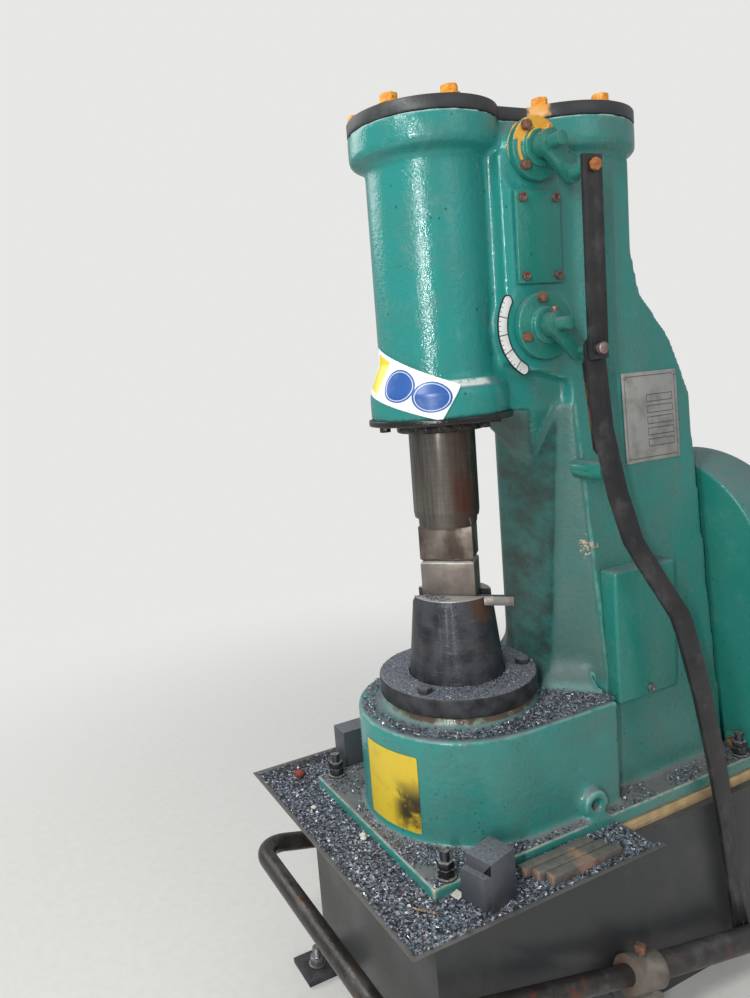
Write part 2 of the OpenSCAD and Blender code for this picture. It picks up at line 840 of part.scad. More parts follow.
// Long link: a flat bar that curves back down to the treadle's rear pin
link_stand_gap = 10;
link_foot_x = stand_w / 2 + link_stand_gap;
joggle_high = 640;
joggle_low = 540;
link_way = [[link_y, link_foot_z], [142, 790], [163, 706], [196, 616], [236, 520],
    [266, 422], [290, 322], [310, 222], [326, 120], [rear_pin_y, rear_pin_z]];
long_w = 30;
module long_link() {
    reach = 2 * stand_w + top_z;
    n = len(link_way) - 1;
    side = [for (i = [0 : n]) let (a = link_way[max(i - 1, 0)], b = link_way[min(i + 1, n)],
        d = (b - a) / norm(b - a)) [-d[1], d[0]] * long_w / 2];
    outline = concat([for (i = [0 : n]) link_way[i] + side[i]],
        [for (i = [n : -1 : 0]) link_way[i] - side[i]]);
    band = [[long_x, reach], [long_x, joggle_high], [link_foot_x, joggle_low],
        [link_foot_x, -reach], [link_foot_x + bar_t, -reach], [link_foot_x + bar_t, joggle_low + 1],
        [long_x + bar_t, joggle_high + 1], [long_x + bar_t, reach]];
    color(black) difference() {
        union() {
            intersection() {
                rotate([90, 0, 90]) linear_extrude(reach) polygon(outline);
                translate([0, reach, 0]) rotate([90, 0, 0]) linear_extrude(2 * reach) polygon(band);
            }
            translate([long_x, link_y, link_foot_z]) rotate([0, 90, 0])
                cylinder(r = long_w / 2, h = bar_t);
            translate([link_foot_x, rear_pin_y, rear_pin_z]) rotate([0, 90, 0])
                cylinder(r = long_w / 2, h = bar_t);
        }
        translate([long_x - eps, link_y, link_foot_z]) rotate([0, 90, 0])
            cylinder(r = pin_r + pin_gap, h = bar_t + 2 * eps);
        translate([link_foot_x - eps, rear_pin_y, rear_pin_z]) rotate([0, 90, 0])
            cylinder(r = pin_r + open_pin_gap, h = bar_t + 2 * eps);
    }
}

stand_box();
floor_tabs();
wood_packing();
scale_tray();
scale_bed();
base_casting();
column();
cylinder_block();
top_plate();
gland_ring();
ram_packing();
clamp_ring();
sow_block();
lower_die();
lower_die_key();
upper_valve_cover();
lower_valve_cover();
dial_plate();
upper_side_cover();
lower_side_cover();
nameplate();
belt_guard();
guard_bracket();
spring_boss();
return_spring();
spare_dies();
spare_keys();
treadle_bearings();
ram();
upper_die();
upper_die_key();
treadle_loop();
treadle_arms();
treadle_clamps();
lower_valve_lever();
upper_valve_lever();
upper_link();
long_link();
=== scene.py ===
"""Looks of a small pneumatic forging hammer on a welded stand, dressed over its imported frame."""

import json
import math
import random
from contextlib import contextmanager

import bpy
from mathutils import Matrix, Vector, noise

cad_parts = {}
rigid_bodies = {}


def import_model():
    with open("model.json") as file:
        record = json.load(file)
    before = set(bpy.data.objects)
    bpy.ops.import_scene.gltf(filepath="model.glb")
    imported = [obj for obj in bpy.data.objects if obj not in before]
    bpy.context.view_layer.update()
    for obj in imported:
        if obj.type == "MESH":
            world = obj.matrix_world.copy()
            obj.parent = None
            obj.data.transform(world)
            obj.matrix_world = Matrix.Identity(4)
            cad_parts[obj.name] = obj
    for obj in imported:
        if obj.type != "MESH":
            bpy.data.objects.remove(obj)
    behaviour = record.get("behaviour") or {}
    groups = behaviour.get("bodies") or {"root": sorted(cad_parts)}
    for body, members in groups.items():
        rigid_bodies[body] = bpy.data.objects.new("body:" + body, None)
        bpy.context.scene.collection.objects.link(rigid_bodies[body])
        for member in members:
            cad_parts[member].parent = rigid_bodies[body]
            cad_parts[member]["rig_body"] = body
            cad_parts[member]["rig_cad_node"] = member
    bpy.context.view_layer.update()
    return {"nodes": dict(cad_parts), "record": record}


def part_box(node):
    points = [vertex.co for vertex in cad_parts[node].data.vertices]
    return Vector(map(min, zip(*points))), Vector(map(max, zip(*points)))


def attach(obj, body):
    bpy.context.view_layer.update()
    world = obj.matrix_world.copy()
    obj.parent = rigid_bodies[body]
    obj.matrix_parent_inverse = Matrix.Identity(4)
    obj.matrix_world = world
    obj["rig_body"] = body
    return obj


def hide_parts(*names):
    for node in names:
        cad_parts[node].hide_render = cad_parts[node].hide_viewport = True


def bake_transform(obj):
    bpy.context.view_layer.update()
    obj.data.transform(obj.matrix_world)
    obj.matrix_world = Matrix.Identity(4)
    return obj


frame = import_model()


# Stand. A box of steel plate, welded up and sprayed black, scuffed and dusty. The tools for
# materials and for copying a CAD piece are made here, where they are first used.
class Value:
    """A socket of a material. Sums on it add Math nodes."""

    def __init__(self, finish, socket):
        self.finish = finish
        self.socket = socket

    def math(self, operation, *inputs):
        return self.finish.node("Math", {"operation": operation}, dict(enumerate(inputs)))

    def __add__(self, other):
        return self.math("ADD", self, other)

    def __sub__(self, other):
        return self.math("SUBTRACT", self, other)

    def __rsub__(self, other):
        return self.math("SUBTRACT", other, self)

    def __mul__(self, other):
        return self.math("MULTIPLY", self, other)

    def __truediv__(self, other):
        return self.math("DIVIDE", self, other)

    __radd__ = __add__
    __rmul__ = __mul__

    def step(self, low, high):
        """0 below low, 1 above high, and a soft step between. low may be above high."""
        ends = {"Value": self, "From Min": low, "From Max": high}
        return self.finish.node("MapRange", {"interpolation_type": "SMOOTHSTEP"}, ends)

    def band(self, rise, full, gone, fade):
        """A step up and a step down again, each from where it is 0 to where it is 1."""
        return self.step(rise, full) * self.step(gone, fade)

    def mix(self, low, high):
        """A number that goes from low to high with this mask."""
        return low + self * (high - low)


def far(first, second):
    """How far a point is from a middle, from its two offsets."""
    total = first * first + second * second
    return total.math("SQRT", total)


class Finish:
    """A material made node by node. A position in it is Object coordinates, in metres."""

    def __init__(self, name):
        self.material = bpy.data.materials.new(name)
        self.material.use_nodes = True
        self.tree = self.material.node_tree
        self.shader = self.tree.nodes["Principled BSDF"]
        self.place = self.node("TexCoord", output="Object")
        self.x, self.y, self.z = self.split(self.place)
        self.facing = self.split(self.node("NewGeometry", output="Normal"))

    def put(self, value, socket):
        """Links a value to a socket, or sets the socket where the value is a plain one."""
        if isinstance(value, Value):
            self.tree.links.new(value.socket, socket)
        else:
            socket.default_value = value

    def node(self, kind, settings=None, inputs=None, output=0):
        """Adds a node: its settings first, then the values or links of its sockets."""
        made = self.tree.nodes.new("ShaderNode" + kind)
        for key, value in (settings or {}).items():
            setattr(made, key, value)
        for key, value in (inputs or {}).items():
            self.put(value, made.inputs[key])
        return Value(self, made.outputs[output])

    def split(self, vector):
        return [self.node("SeparateXYZ", {}, {0: vector}, axis) for axis in "XYZ"]

    def cloud(self, scale, low=0.35, high=0.65, detail=4.0, stretch=None, rough=0.5):
        """Noise with patches of about 1 / scale metres, from 0 to 1, denser along a stretch."""
        place = self.place
        if stretch:
            place = self.node("Mapping", {}, {"Vector": place, "Scale": stretch})
        settings = {"Vector": place, "Scale": scale, "Detail": detail, "Roughness": rough}
        return self.node("TexNoise", {}, settings).step(low, high)

    def cells(self, scale, output="Distance"):
        return self.node("TexVoronoi", {}, {"Vector": self.place, "Scale": scale}, output)

    def coats(self, base, *coats):
        """A colour with others laid over it. Each coat is a mask and a colour."""
        tone = colour(base) if isinstance(base, str) else base
        for mask, above in coats:
            tone = self.node("Mix", {"data_type": "RGBA"}, {0: mask, 6: tone, 7: colour(above)}, 2)
        return tone

    def near(self, centre, reach, ragged):
        """1 at a point, falling to 0 at the reach, with a ragged edge."""
        away = self.node("VectorMath", {"operation": "DISTANCE"}, {0: self.place, 1: centre}, 1)
        return (away + (self.cloud(140, 0, 1) - 0.5) * ragged).step(reach, reach * 0.6)

    def bump(self, height, distance, strength, below=None):
        inputs = {"Height": height, "Distance": distance, "Strength": strength}
        if below:
            inputs["Normal"] = below
        return self.node("Bump", {}, inputs, "Normal")

    def surface(self, tone, rough=None, metal=None, bump=None):
        """Sets the shader. What is left out stays as it was."""
        normal = self.bump(*bump) if bump else None
        for name, value in zip(
            ("Base Color", "Roughness", "Metallic", "Normal"), (tone, rough, metal, normal)
        ):
            if value is not None:
                self.put(value, self.shader.inputs[name])


def colour(code):
    """A colour as a screen shows it, such as "1f6e5c", for a shader socket."""
    parts = [int(code[i : i + 2], 16) / 255 for i in (0, 2, 4)]
    linear = [p / 12.92 if p <= 0.04045 else ((p + 0.055) / 1.055) ** 2.4 for p in parts]
    return (*linear, 1.0)


@contextmanager
def editing(wanted=None):
    """Edit mode on the active piece, with all selected, or the faces whose middle is wanted."""
    bpy.ops.object.mode_set(mode="EDIT")
    bpy.ops.mesh.select_all(action="SELECT")
    if wanted:
        bpy.ops.mesh.select_mode(type="FACE")
        bpy.ops.mesh.select_all(action="DESELECT")
        bpy.ops.object.mode_set(mode="OBJECT")
        for face in bpy.context.object.data.polygons:
            face.select = wanted(face.center)
        bpy.ops.object.mode_set(mode="EDIT")
    yield
    bpy.ops.mesh.select_mode(type="VERT")
    bpy.ops.object.mode_set(mode="OBJECT")


def joined(name, *parts):
    """Several parts as one piece, which is the first of them."""
    bpy.ops.object.select_all(action="DESELECT")
    for part in parts:
        part.select_set(True)
    bpy.context.view_layer.objects.active = parts[0]
    bpy.ops.object.join()
    parts[0].name = name
    return parts[0]


def skin_of(name, *nodes):
    """A copy of CAD nodes as one new piece, its loose triangles merged into whole faces."""
    copies = []
    for node in nodes:
        copied = frame["nodes"][node].copy()
        copied.data = copied.data.copy()
        copied.parent = None
        del copied["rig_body"]
        del copied["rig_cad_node"]
        bpy.context.collection.objects.link(copied)
        copies.insert(0, copied)
    piece = joined(name, *copies)
    piece.data.name = name
    bpy.ops.mesh.customdata_custom_splitnormals_clear()
    with editing():
        bpy.ops.mesh.remove_doubles(threshold=0.00002)
        bpy.ops.mesh.dissolve_limited(angle_limit=math.radians(0.4))
    return piece


def modify(piece, kind, **settings):
    """Adds a modifier and applies it."""
    bpy.ops.object.select_all(action="DESELECT")
    piece.select_set(True)
    bpy.context.view_layer.objects.active = piece
    bpy.ops.object.modifier_add(type=kind)
    modifier = piece.modifiers[-1]
    for key, value in settings.items():
        setattr(modifier, key, value)
    bpy.ops.object.modifier_apply(modifier=modifier.name)


def ease(piece, width, segments=2):
    """Rounds the sharp edges and shades what is between them smooth."""
    sharp = math.radians(28)
    modify(piece, "BEVEL", width=width, segments=segments, limit_method="ANGLE", angle_limit=sharp)
    bpy.ops.object.shade_smooth_by_angle(angle=math.radians(38))


def settle(piece, finish, slot, body="root", *nodes):
    """Gives a finished piece its material, the body it rides on, and the nodes it stands for."""
    piece.data.materials.clear()
    piece.data.materials.append(finish.material)
    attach(piece, body)
    if nodes:
        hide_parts(*nodes)


def dress(name, node, width, finish, slot, body="root", segments=2):
    """A CAD node's own form with eased edges, in its material, standing for the node."""
    piece = skin_of(name, node)
    ease(piece, width, segments)
    settle(piece, finish, slot, body, node)


def black_finish(name, base, dust="5b5954", shine=0.42):
    """Sprayed black on steel: wiped dirt, dust that lies on top, and specks of splatter."""
    paint = Finish(name)
    patches = paint.cloud(9, 0.35, 0.7, 6)
    wipes = paint.cloud(14, 0.48, 0.75, 8, (1.6, 1, 0.7), 0.65)
    specks = paint.cells(38).step(0.07, 0.045) * paint.cloud(8, 0.5, 0.6)
    lying = paint.facing[2].step(0.5, 0.95) * paint.cloud(70, 0.25, 0.6)
    paint.tone = paint.coats(
        base,
        (patches * 0.5, "3a3b36"),
        (wipes * 0.4, "565652"),
        (specks * 0.6, "8d8d88"),
        (lying * 0.55, dust),
    )
    rough = patches.mix(shine - 0.08, shine + 0.1) + lying * 0.3 + wipes * 0.1
    paint.surface(paint.tone, rough, bump=(paint.cloud(500, 0.3, 0.7, 2), 0.0002, 0.5))
    return paint


box_paint = black_finish("black_box_paint", "38393b")
dress("stand", "stand_box", 0.003, box_paint, "black_paint")
stand_low, stand_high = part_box("stand_box")


# Floor tabs. Flat bar welded to the stand's foot, each held down by an anchor stud through
# its hole, with a washer and a zinc nut.
def dark_steel_finish(
    name, base="3a3c3f", worn="85868a", rust=0.25, shine=0.45, film="5a5856", lies=0.35, metal=0.85
):
    """Steel with its mill skin: dark and mottled, bright where it rubs, rust, and grit on top."""
    steel = Finish(name)
    mottle = steel.cloud(45, 0.3, 0.7, 6)
    rubbed = steel.cloud(22, 0.52, 0.72, 5)
    rusty = steel.cloud(28, 0.55, 0.68, 8, rough=0.6) * rust
    lying = steel.facing[2].step(0.6, 0.95) * steel.cloud(320, 0.3, 0.6, 6, rough=0.7)
    steel.tone = steel.coats(
        base, (mottle * 0.6, "56585c"), (rubbed * 0.5, worn), (rusty, "7a4a2c"), (lying * lies, film)
    )
    rough = mottle.mix(shine, shine + 0.14) + rusty * 0.3 + lying * lies * 0.4
    bare = rusty.mix(metal, 0.1) * (1 - lying * lies)
    steel.surface(steel.tone, rough, bare, (steel.cloud(260, 0.3, 0.75, 6), 0.0003, 0.7))
    return steel


def zinc_finish(name, base="8d8f90", stain="5b4a3c"):
    """Zinc plate gone dull, with grime and rust in its corners."""
    zinc = Finish(name)
    dull = zinc.cloud(300, 0.3, 0.7, 5)
    stained = zinc.cloud(120, 0.5, 0.7, 6) * 0.35
    tone = zinc.coats(base, (dull * 0.5, "6b6d6e"), (stained, stain))
    zinc.surface(tone, dull.mix(0.35, 0.55) + stained * 0.3, 0.8, (dull, 0.0002, 0.4))
    return zinc


def cylinder(vertices, radius, height, lift=0.0):
    """An upright cylinder on a height of its own."""
    bpy.ops.mesh.primitive_cylinder_add(
        vertices=vertices, radius=radius, depth=height, location=(0, 0, lift + height / 2)
    )
    return bpy.context.object


def hex_head(across, height, washer=0.0):
    """A hexagon head that stands on z = 0, its corners turned off, on a washer if it has one."""
    lift = across * 0.12 if washer else 0.0
    parts = []
    if washer:
        parts.append(cylinder(28, washer / 2, lift))
        ease(parts[0], lift * 0.25)
    parts.insert(0, cylinder(6, across / 2 / math.cos(math.pi / 6), height, lift))
    ease(parts[0], height * 0.11)
    head = joined("hex_head", *parts)
    bpy.ops.object.transform_apply()
    return head


def stud(radius, length, crest=0.0006):
    """A threaded end that stands on z = 0: rings for the thread, and a domed tip."""
    rings = 2 * int(length / (radius * 0.32))
    rod = cylinder(20, radius, length)
    bpy.ops.object.transform_apply()
    with editing():
        for i in range(1, rings):
            plane = (0, 0, length * i / rings)
            bpy.ops.mesh.bisect(plane_co=plane, plane_no=UP, use_fill=False)
            bpy.ops.mesh.select_all(action="SELECT")
    for vertex in rod.data.vertices:
        ring = round(vertex.co.z / length * rings)
        if ring % 2 or vertex.co.z > length - 1e-5:
            vertex.co.x *= 1 - crest / radius
            vertex.co.y *= 1 - crest / radius
    bpy.ops.object.shade_smooth_by_angle(angle=math.radians(50))
    return rod


def placed(pattern, places):
    """Copies of a small part as one piece. Each place is a point, a direction and a turn."""
    made = []
    for point, direction, turn in places:
        one = pattern.copy()
        one.data = pattern.data.copy()
        bpy.context.collection.objects.link(one)
        upright = Vector(direction).to_track_quat("Z", "Y").to_matrix().to_4x4()
        spin = Matrix.Rotation(math.radians(turn), 4, "Z")
        one.data.transform(Matrix.Translation(point) @ upright @ spin)
        one.matrix_world = Matrix.Identity(4)
        made.append(one)
    bpy.data.objects.remove(pattern)
    return joined("copies", *made)


def fasten(name, finish, slot, *groups, body="root"):
    """Small parts as one piece. Each group is a part and the places where it sits."""
    settle(joined(name, *[placed(*group) for group in groups]), finish, slot, body)


UP = (0, 0, 1)
DOWN = (0, 0, -1)
RIGHT = (1, 0, 0)
tab_steel = dark_steel_finish("tab_steel", rust=0.6)
dress("tabs", "floor_tabs", 0.0012, tab_steel, "dark_steel")
dull_zinc = zinc_finish("dull_zinc")
bolt = next(mount for mount in frame["record"]["mounts"] if mount["name"] == "floor_anchors")
reach = Vector((bolt["dims"]["spacing_x_mm"], bolt["dims"]["spacing_y_mm"], 0)) / 2000
tab_top = Vector(bolt["pos_m"]) + Vector((0, 0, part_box("floor_tabs")[1].z))
anchors = [
    (tab_top + Vector((sx * reach.x, sy * reach.y, 0)), UP, turn)
    for sx, sy, turn in [(-1, -1, 0), (1, -1, 17), (-1, 1, 34), (1, 1, 51)]
]
anchor_nuts = (hex_head(0.019, 0.010, 0.026), anchors)
fasten("anchor_nuts", dull_zinc, "dark_steel", anchor_nuts, (stud(0.006, 0.028), anchors))


# Packing. Two planed timbers between the stand and the casting, grey with dirt outside.
wood = Finish("packing_timber")
rings = wood.cloud(9, 0.2, 0.8, 3, (9, 0.7, 14))
fibres = wood.cloud(60, 0.3, 0.7, 6, (5, 0.25, 5))
grime = wood.cloud(35, 0.35, 0.7, 6)
tone = wood.coats("c7ae82", (rings * 0.6, "a8875a"), (fibres * 0.3, "8f7450"), (grime * 0.45, "5b5347"))
wood.surface(tone, 0.8, bump=(fibres, 0.0004, 0.8))
dress("packing", "wood_packing", 0.0015, wood, "timber")


# Scale tray. Sheet steel flared out round the front of the stand and welded on, painted
# black inside and out, its rim rubbed bright by the scrap that is raked over it.
tray_paint = black_finish("tray_paint", "2a2b2d", shine=0.38)
tray_low, tray_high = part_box("scale_tray")
uneven = (tray_paint.cloud(120, 0, 1) - 0.5) * 0.003
rim = (tray_paint.z + uneven).step(tray_high.z - 0.0022, tray_high.z - 0.0008)
gritty = tray_paint.facing[2].step(0.3, 0.6) * tray_paint.cloud(140, 0.4, 0.7, 6)
tone = tray_paint.coats(tray_paint.tone, (gritty * 0.5, "5f656b"), (rim * 0.6, "85827d"))
tray_paint.surface(tone, metal=rim * 0.5)
dress("tray", "scale_tray", 0.0008, tray_paint, "black_paint")


# Forge scale. Flakes that fall off hot steel, blue-grey, a few painted near-white as glints,
# heaped in the tray over grey dust and lying on every ledge, with a few pale stones from the yard.
scale_dust = Finish("scale_dust")
fleck = scale_dust.node("SeparateColor", {}, {0: scale_dust.cells(300, "Color")})
brownish = scale_dust.cloud(18, 0.4, 0.7) * 0.4
tone = scale_dust.coats("33363c", (fleck.step(0.3, 1), "7b828b"), (brownish, "55514d"))
scale_dust.surface(tone, fleck.mix(0.35, 0.8), 0.2, (scale_dust.cells(280), 0.002, 1.0))
settle(skin_of("scale_bed_foot", "scale_bed"), scale_dust, "forge_scale", "root", "scale_bed")
bed_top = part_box("scale_bed")[1].z
flange_low, flange_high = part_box("base_casting")
tray_slope = (tray_high.z - tray_low.z) / (tray_high.x - stand_high.x)
sheet_lift = 0.0035


def lying_height(x, y):
    """Height of the heap at a place in the tray, and how far the sheet stands above it there."""
    out = max(abs(x) - stand_high.x, stand_low.y - y, 0)
    sheet = tray_low.z + out * tray_slope + sheet_lift
    level = bed_top + 0.001 + 0.0035 * noise.noise((x * 13, y * 13, 2))
    return level, sheet - level


def unseen(spot):
    """Whether a face of the heap lies under the casting or below the sheet."""
    under = abs(spot.x) < flange_high.x - 0.004 and spot.y > flange_low.y + 0.004
    return under or lying_height(spot.x, spot.y)[1] > 0.002


heap_end = tray_high.y - 0.003
heap_w, heap_l = tray_high.x - tray_low.x - 0.008, heap_end - tray_low.y - 0.004
heap_middle = (0, heap_end - heap_l / 2, 0)
heap_t = 0.0015
bpy.ops.mesh.primitive_grid_add(x_subdivisions=110, y_subdivisions=88, size=1, location=heap_middle)
heap = bpy.context.object
heap.name = "scale_heap"
bpy.ops.transform.resize(value=(heap_w, heap_l, 1))
bpy.ops.object.transform_apply()
for vertex in heap.data.vertices:
    level, above = lying_height(vertex.co.x, vertex.co.y)
    vertex.co.z = level if above < 0 else level + above - heap_t
with editing(unseen):
    bpy.ops.mesh.delete(type="FACE")
modify(heap, "SOLIDIFY", thickness=heap_t, offset=-1)
bpy.ops.object.shade_smooth()
settle(heap, scale_dust, "forge_scale")

flake_metal = Finish("scale_flakes")
loose = flake_metal.node("NewGeometry", output="Random Per Island")
# Most flakes are blue-grey and a few rusty. About one in fifteen is near-white, a painted glint.
tone = flake_metal.coats(
    "2e3238",
    (loose.step(0.1, 0.8), "8d95a1"),
    (loose.step(0.9, 0.97), "dde2e8"),
    (loose.step(0.05, 0.02), "6a4a38"),
)
flake_metal.surface(tone, loose.step(0.3, 1).mix(0.5, 0.28), 0.35)


def flakes(name, spots, small, large, seed, finish=flake_metal, slant=0.5):
    """Thin four-cornered flakes lying at all slants on the given spots, as one mesh."""
    roll = random.Random(seed)
    bpy.ops.mesh.primitive_cylinder_add(vertices=4, radius=1, depth=0.2)
    pattern = bpy.context.object
    points = [v.co.copy() for v in pattern.data.vertices]
    faces = [list(p.vertices) for p in pattern.data.polygons]
    bpy.data.objects.remove(pattern)
    mesh_points, mesh_faces = [], []
    for spot in spots:
        size = roll.uniform(small, large) * roll.uniform(0.5, 1)
        lean = Matrix.Rotation(roll.gauss(0, slant), 4, (roll.uniform(-1, 1), roll.uniform(-1, 1), 0.01))
        turn = Matrix.Rotation(roll.uniform(0, 6.3), 4, "Z")
        shape = Matrix.Diagonal((size, size * roll.uniform(0.4, 1), min(size, 0.003), 1))
        place = Matrix.Translation(spot) @ lean @ turn @ shape
        first = len(mesh_points)
        mesh_points += [place @ p for p in points]
        mesh_faces += [[first + i for i in face] for face in faces]
    mesh = bpy.data.meshes.new(name)
    mesh.from_pydata(mesh_points, [], mesh_faces)
    piece = bpy.data.objects.new(name, mesh)
    bpy.context.collection.objects.link(piece)
    settle(piece, finish, "forge_scale")


bed_spots = []
dice = random.Random(3)
while len(bed_spots) < 15500:
    x = dice.uniform(tray_low.x + 0.006, tray_high.x - 0.006)
    y = dice.uniform(tray_low.y + 0.006, heap_end)
    level, above = lying_height(x, y)
    if (abs(x) < flange_high.x and y > flange_low.y) or above > 0.012 * dice.random():
        continue
    bed_spots.append((x, y, level + max(above, 0) + dice.uniform(0, 0.0015)))
flakes("tray_flakes", bed_spots, 0.0014, 0.0036, 5)


def mottled(name, base, patch, share, grain, rough, metal=None, relief=None):
    """A plain material with patches of a second colour, which can set its roughness and bumps."""
    finish = Finish(name)
    mask = finish.cloud(*grain)
    if isinstance(rough, tuple):
        rough = mask.mix(*rough)
    tone = finish.coats(base, (mask * share, patch))
    finish.surface(tone, rough, metal, (mask, *relief) if relief else None)
    return finish


def lump(radius, flat):
    """A worn, flattened stone or nugget about its own middle."""
    bpy.ops.mesh.primitive_ico_sphere_add(subdivisions=3, radius=radius)
    nugget = bpy.context.object
    for vertex in nugget.data.vertices:
        vertex.co *= 1 + 0.35 * noise.noise(vertex.co * 0.85 / radius)
        vertex.co.z *= flat
    bpy.ops.object.shade_smooth()
    return nugget


def on_heap(x, y, lift):
    """A point above the heap or the sheet, whichever is higher there."""
    level, above = lying_height(x, y)
    return Vector((x, y, level + max(above, 0) + lift))


stone = mottled("pale_stone", "d9d4c8", "a9a498", 0.5, (300, 0.3, 0.7), 0.7)
stone_places = [
    (on_heap(x, y, 0.002), UP, turn)
    for x, y, turn in [(-0.102, -0.192, 10), (-0.002, -0.166, 80), (0.006, -0.169, 30)]
]
fasten("yard_stones", stone, "forge_scale", (lump(0.0045, 0.62), stone_places))
red_rust = mottled("red_rust", "8e4032", "5d2a22", 0.7, (200, 0.3, 0.7, 5), 0.7, relief=(0.0008, 0.7))
rusty_place = [(on_heap(-0.196, -0.172, 0.005), UP, 0)]
fasten("rusty_lump", red_rust, "forge_scale", (lump(0.0092, 0.7), rusty_place))
brass = Finish("brass_turnings")
brass.surface(colour("c09a80"), 0.4, 0.5)
brass_spots = [on_heap(0.158 + 0.003 * i, -0.188 + 0.0022 * i, 0.0025) for i in range(8)]
flakes("brass_turnings", brass_spots, 0.003, 0.0055, 9, brass)
flakes("bright_shard", [on_heap(0.170, -0.134, 0.004)], 0.016, 0.019, 4, stone, 0.1)


# Casting. Base flange, anvil pedestal, column and both cylinders are one iron casting in
# sand, with soft edges, filled and sprayed with green enamel that has an orange-peel skin.
def green_finish(name, base="23867f", shine=0.15, dust=1.0):
    """Green enamel: a fine orange peel, grime, dust on what faces up, specks of splatter."""
    paint = Finish(name)
    patches = paint.cloud(7, 0.35, 0.7, 5)
    grime = paint.cloud(16, 0.45, 0.75, 7, rough=0.65)
    wiped = paint.cloud(20, 0.5, 0.78, 8, (1, 2.5, 1), 0.7)
    lying = paint.facing[2].step(0.35, 0.9) * paint.cloud(60, 0.15, 0.6, 6)
    specks = paint.cells(60).step(0.13, 0.08) * paint.cloud(20, 0.45, 0.55)
    paint.tone = paint.coats(
        base,
        (patches * 0.5, "2f7d74"),
        (grime * 0.35 * dust, "4b6a64"),
        (wiped * 0.22 * dust, "7f9a94"),
        (lying * 0.8 * dust, "77757a"),
        (specks * 0.7 * dust, "1c3833"),
    )
    rough = patches.mix(shine, shine + 0.1) + grime * 0.15 * dust + lying * 0.4
    paint.grime, paint.rough = grime, rough + wiped * 0.12 * dust
    peel = paint.bump(paint.cloud(120, 0.25, 0.75, 2), 0.0006, 0.35)
    paint.surface(paint.tone, paint.rough, bump=(paint.cloud(430, 0.25, 0.75, 2), 0.00022, 0.6, peel))
    return paint


green = green_finish("green_casting")
x_facing, y_facing, z_facing = green.facing
sideways = x_facing.math("ABSOLUTE", x_facing)
tall = green.z.band(0.432, 0.45, 0.825, 0.815)
# The column's faces that turn forward are painted darker, in blotches. The nose faces away from the
# light and is painted shade; the flank beside it is darker and greyer, greyest towards the bottom. The
# same blotches also vary the dust film on the flange.
forward = y_facing.step(-0.25, -0.5) * tall * green.y.band(0.09, 0.11, 0.21, 0.19)
flank = forward * sideways.step(0.3, 0.48)
shaded_nose = forward * sideways.step(0.48, 0.3)
dust_and_shade_blotches = green.cloud(26, 0.3, 0.7, 8, (1, 1, 1.8), 0.65)
splatter = green.cells(150).step(0.22, 0.12) * green.cloud(45, 0.5, 0.6)
# A painted highlight, with worn paint, along the rounded edge between the column's flank and its side.
ridge_wear_and_highlight = y_facing.band(-0.36, -0.28, -0.05, -0.12) * x_facing.step(0.8, 0.9) * tall
ridge_wear_and_highlight = ridge_wear_and_highlight * green.y.band(0.09, 0.11, 0.3, 0.28) * green.cloud(40, 0.3, 0.6, 6)
# The column's sides, and the low sides of the pedestal and flange, that face +X away from the light are
# painted darker and greyer in blotches: painted shade. Grime also lies on the column's sides.
sides = x_facing.step(0.2, 0.75) * green.y.step(0.085, 0.125)
shaded_low_sides = x_facing.step(0.4, 0.85) * green.z.step(0.44, 0.42)
foot = green.z.step(0.44, 0.30) * green.cloud(12, 0.3, 0.8, 7)
film = z_facing.step(0.5, 0.9) * green.z.step(0.31, 0.30)
dots = green.cells(150).step(0.2, 0.13) * green.z.step(0.44, 0.42) * green.cloud(30, 0.5, 0.6)
chip = green.near((0.098, 0.155, 0.630), 0.014, 0.03) * green.cloud(300, 0.4, 0.6)
# Sharp edges are painted lighter green: worn paint, and a painted highlight along them.
edge = green.node("NewGeometry", output="Pointiness").step(0.52, 0.57)
bared = edge * green.z.step(0.295, 0.29) * green.cloud(70, 0.4, 0.55, 6)
register = green.z.band(0.4315, 0.4335, 0.447, 0.445) * far(green.x, green.y).step(0.108, 0.106)
# A whitish band on the lower ring's upper chamfer, on its right: a painted highlight, with dust that
# also roughens it.
rubbed = green.z.band(0.858, 0.861, 0.869, 0.866) * green.x.step(0.045, 0.06)
rubbed = rubbed * green.y.step(0.028, 0.012) * green.cloud(130, 0.25, 0.5, 5)
# A whitish line along the collar's top edge under the plate: a painted highlight, and worn paint.
brow_wear_and_highlight = green.z.step(1.1765, 1.178) * green.cloud(50, 0.3, 0.6)
tone = green.coats(
    green.tone,
    (flank * dust_and_shade_blotches.mix(0.6, 0.95), "36504c"),
    (flank * green.z.step(0.62, 0.42) * 0.75, "3f4b4a"),
    (ridge_wear_and_highlight * 0.7, "86bcb0"),
    (shaded_nose * dust_and_shade_blotches.mix(0.55, 0.95), "2b3833"),
    (forward * splatter * 0.5, "151c1a"),
    (sides * dust_and_shade_blotches.mix(0.3, 0.6), "41756b"),
    (shaded_low_sides * dust_and_shade_blotches.mix(0.15, 0.6), "416f66"),
    (sides * green.grime * 0.35, "5f6f6a"),
    (foot * 0.3, "6a7772"),
    (film * dust_and_shade_blotches.mix(0.6, 0.95), "6c6a68"),
    (dots * 0.75, "1b3a36"),
    (chip, "c9a48c"),
    (edge * green.cloud(40, 0.35, 0.6, 6) * 0.55, "8cc4b8"),
    (bared * 0.8, "b7a58d"),
    (register * 0.75, "8d927a"),
    (register * green.cloud(45, 0.4, 0.52, 6) * 0.85, "54392b"),
    (rubbed * 0.85, "d5dcd6"),
    (brow_wear_and_highlight * 0.7, "bcd9d2"),
)
green.surface(tone, green.rough + shaded_nose * 0.15 + flank * 0.2 + rubbed * 0.4)

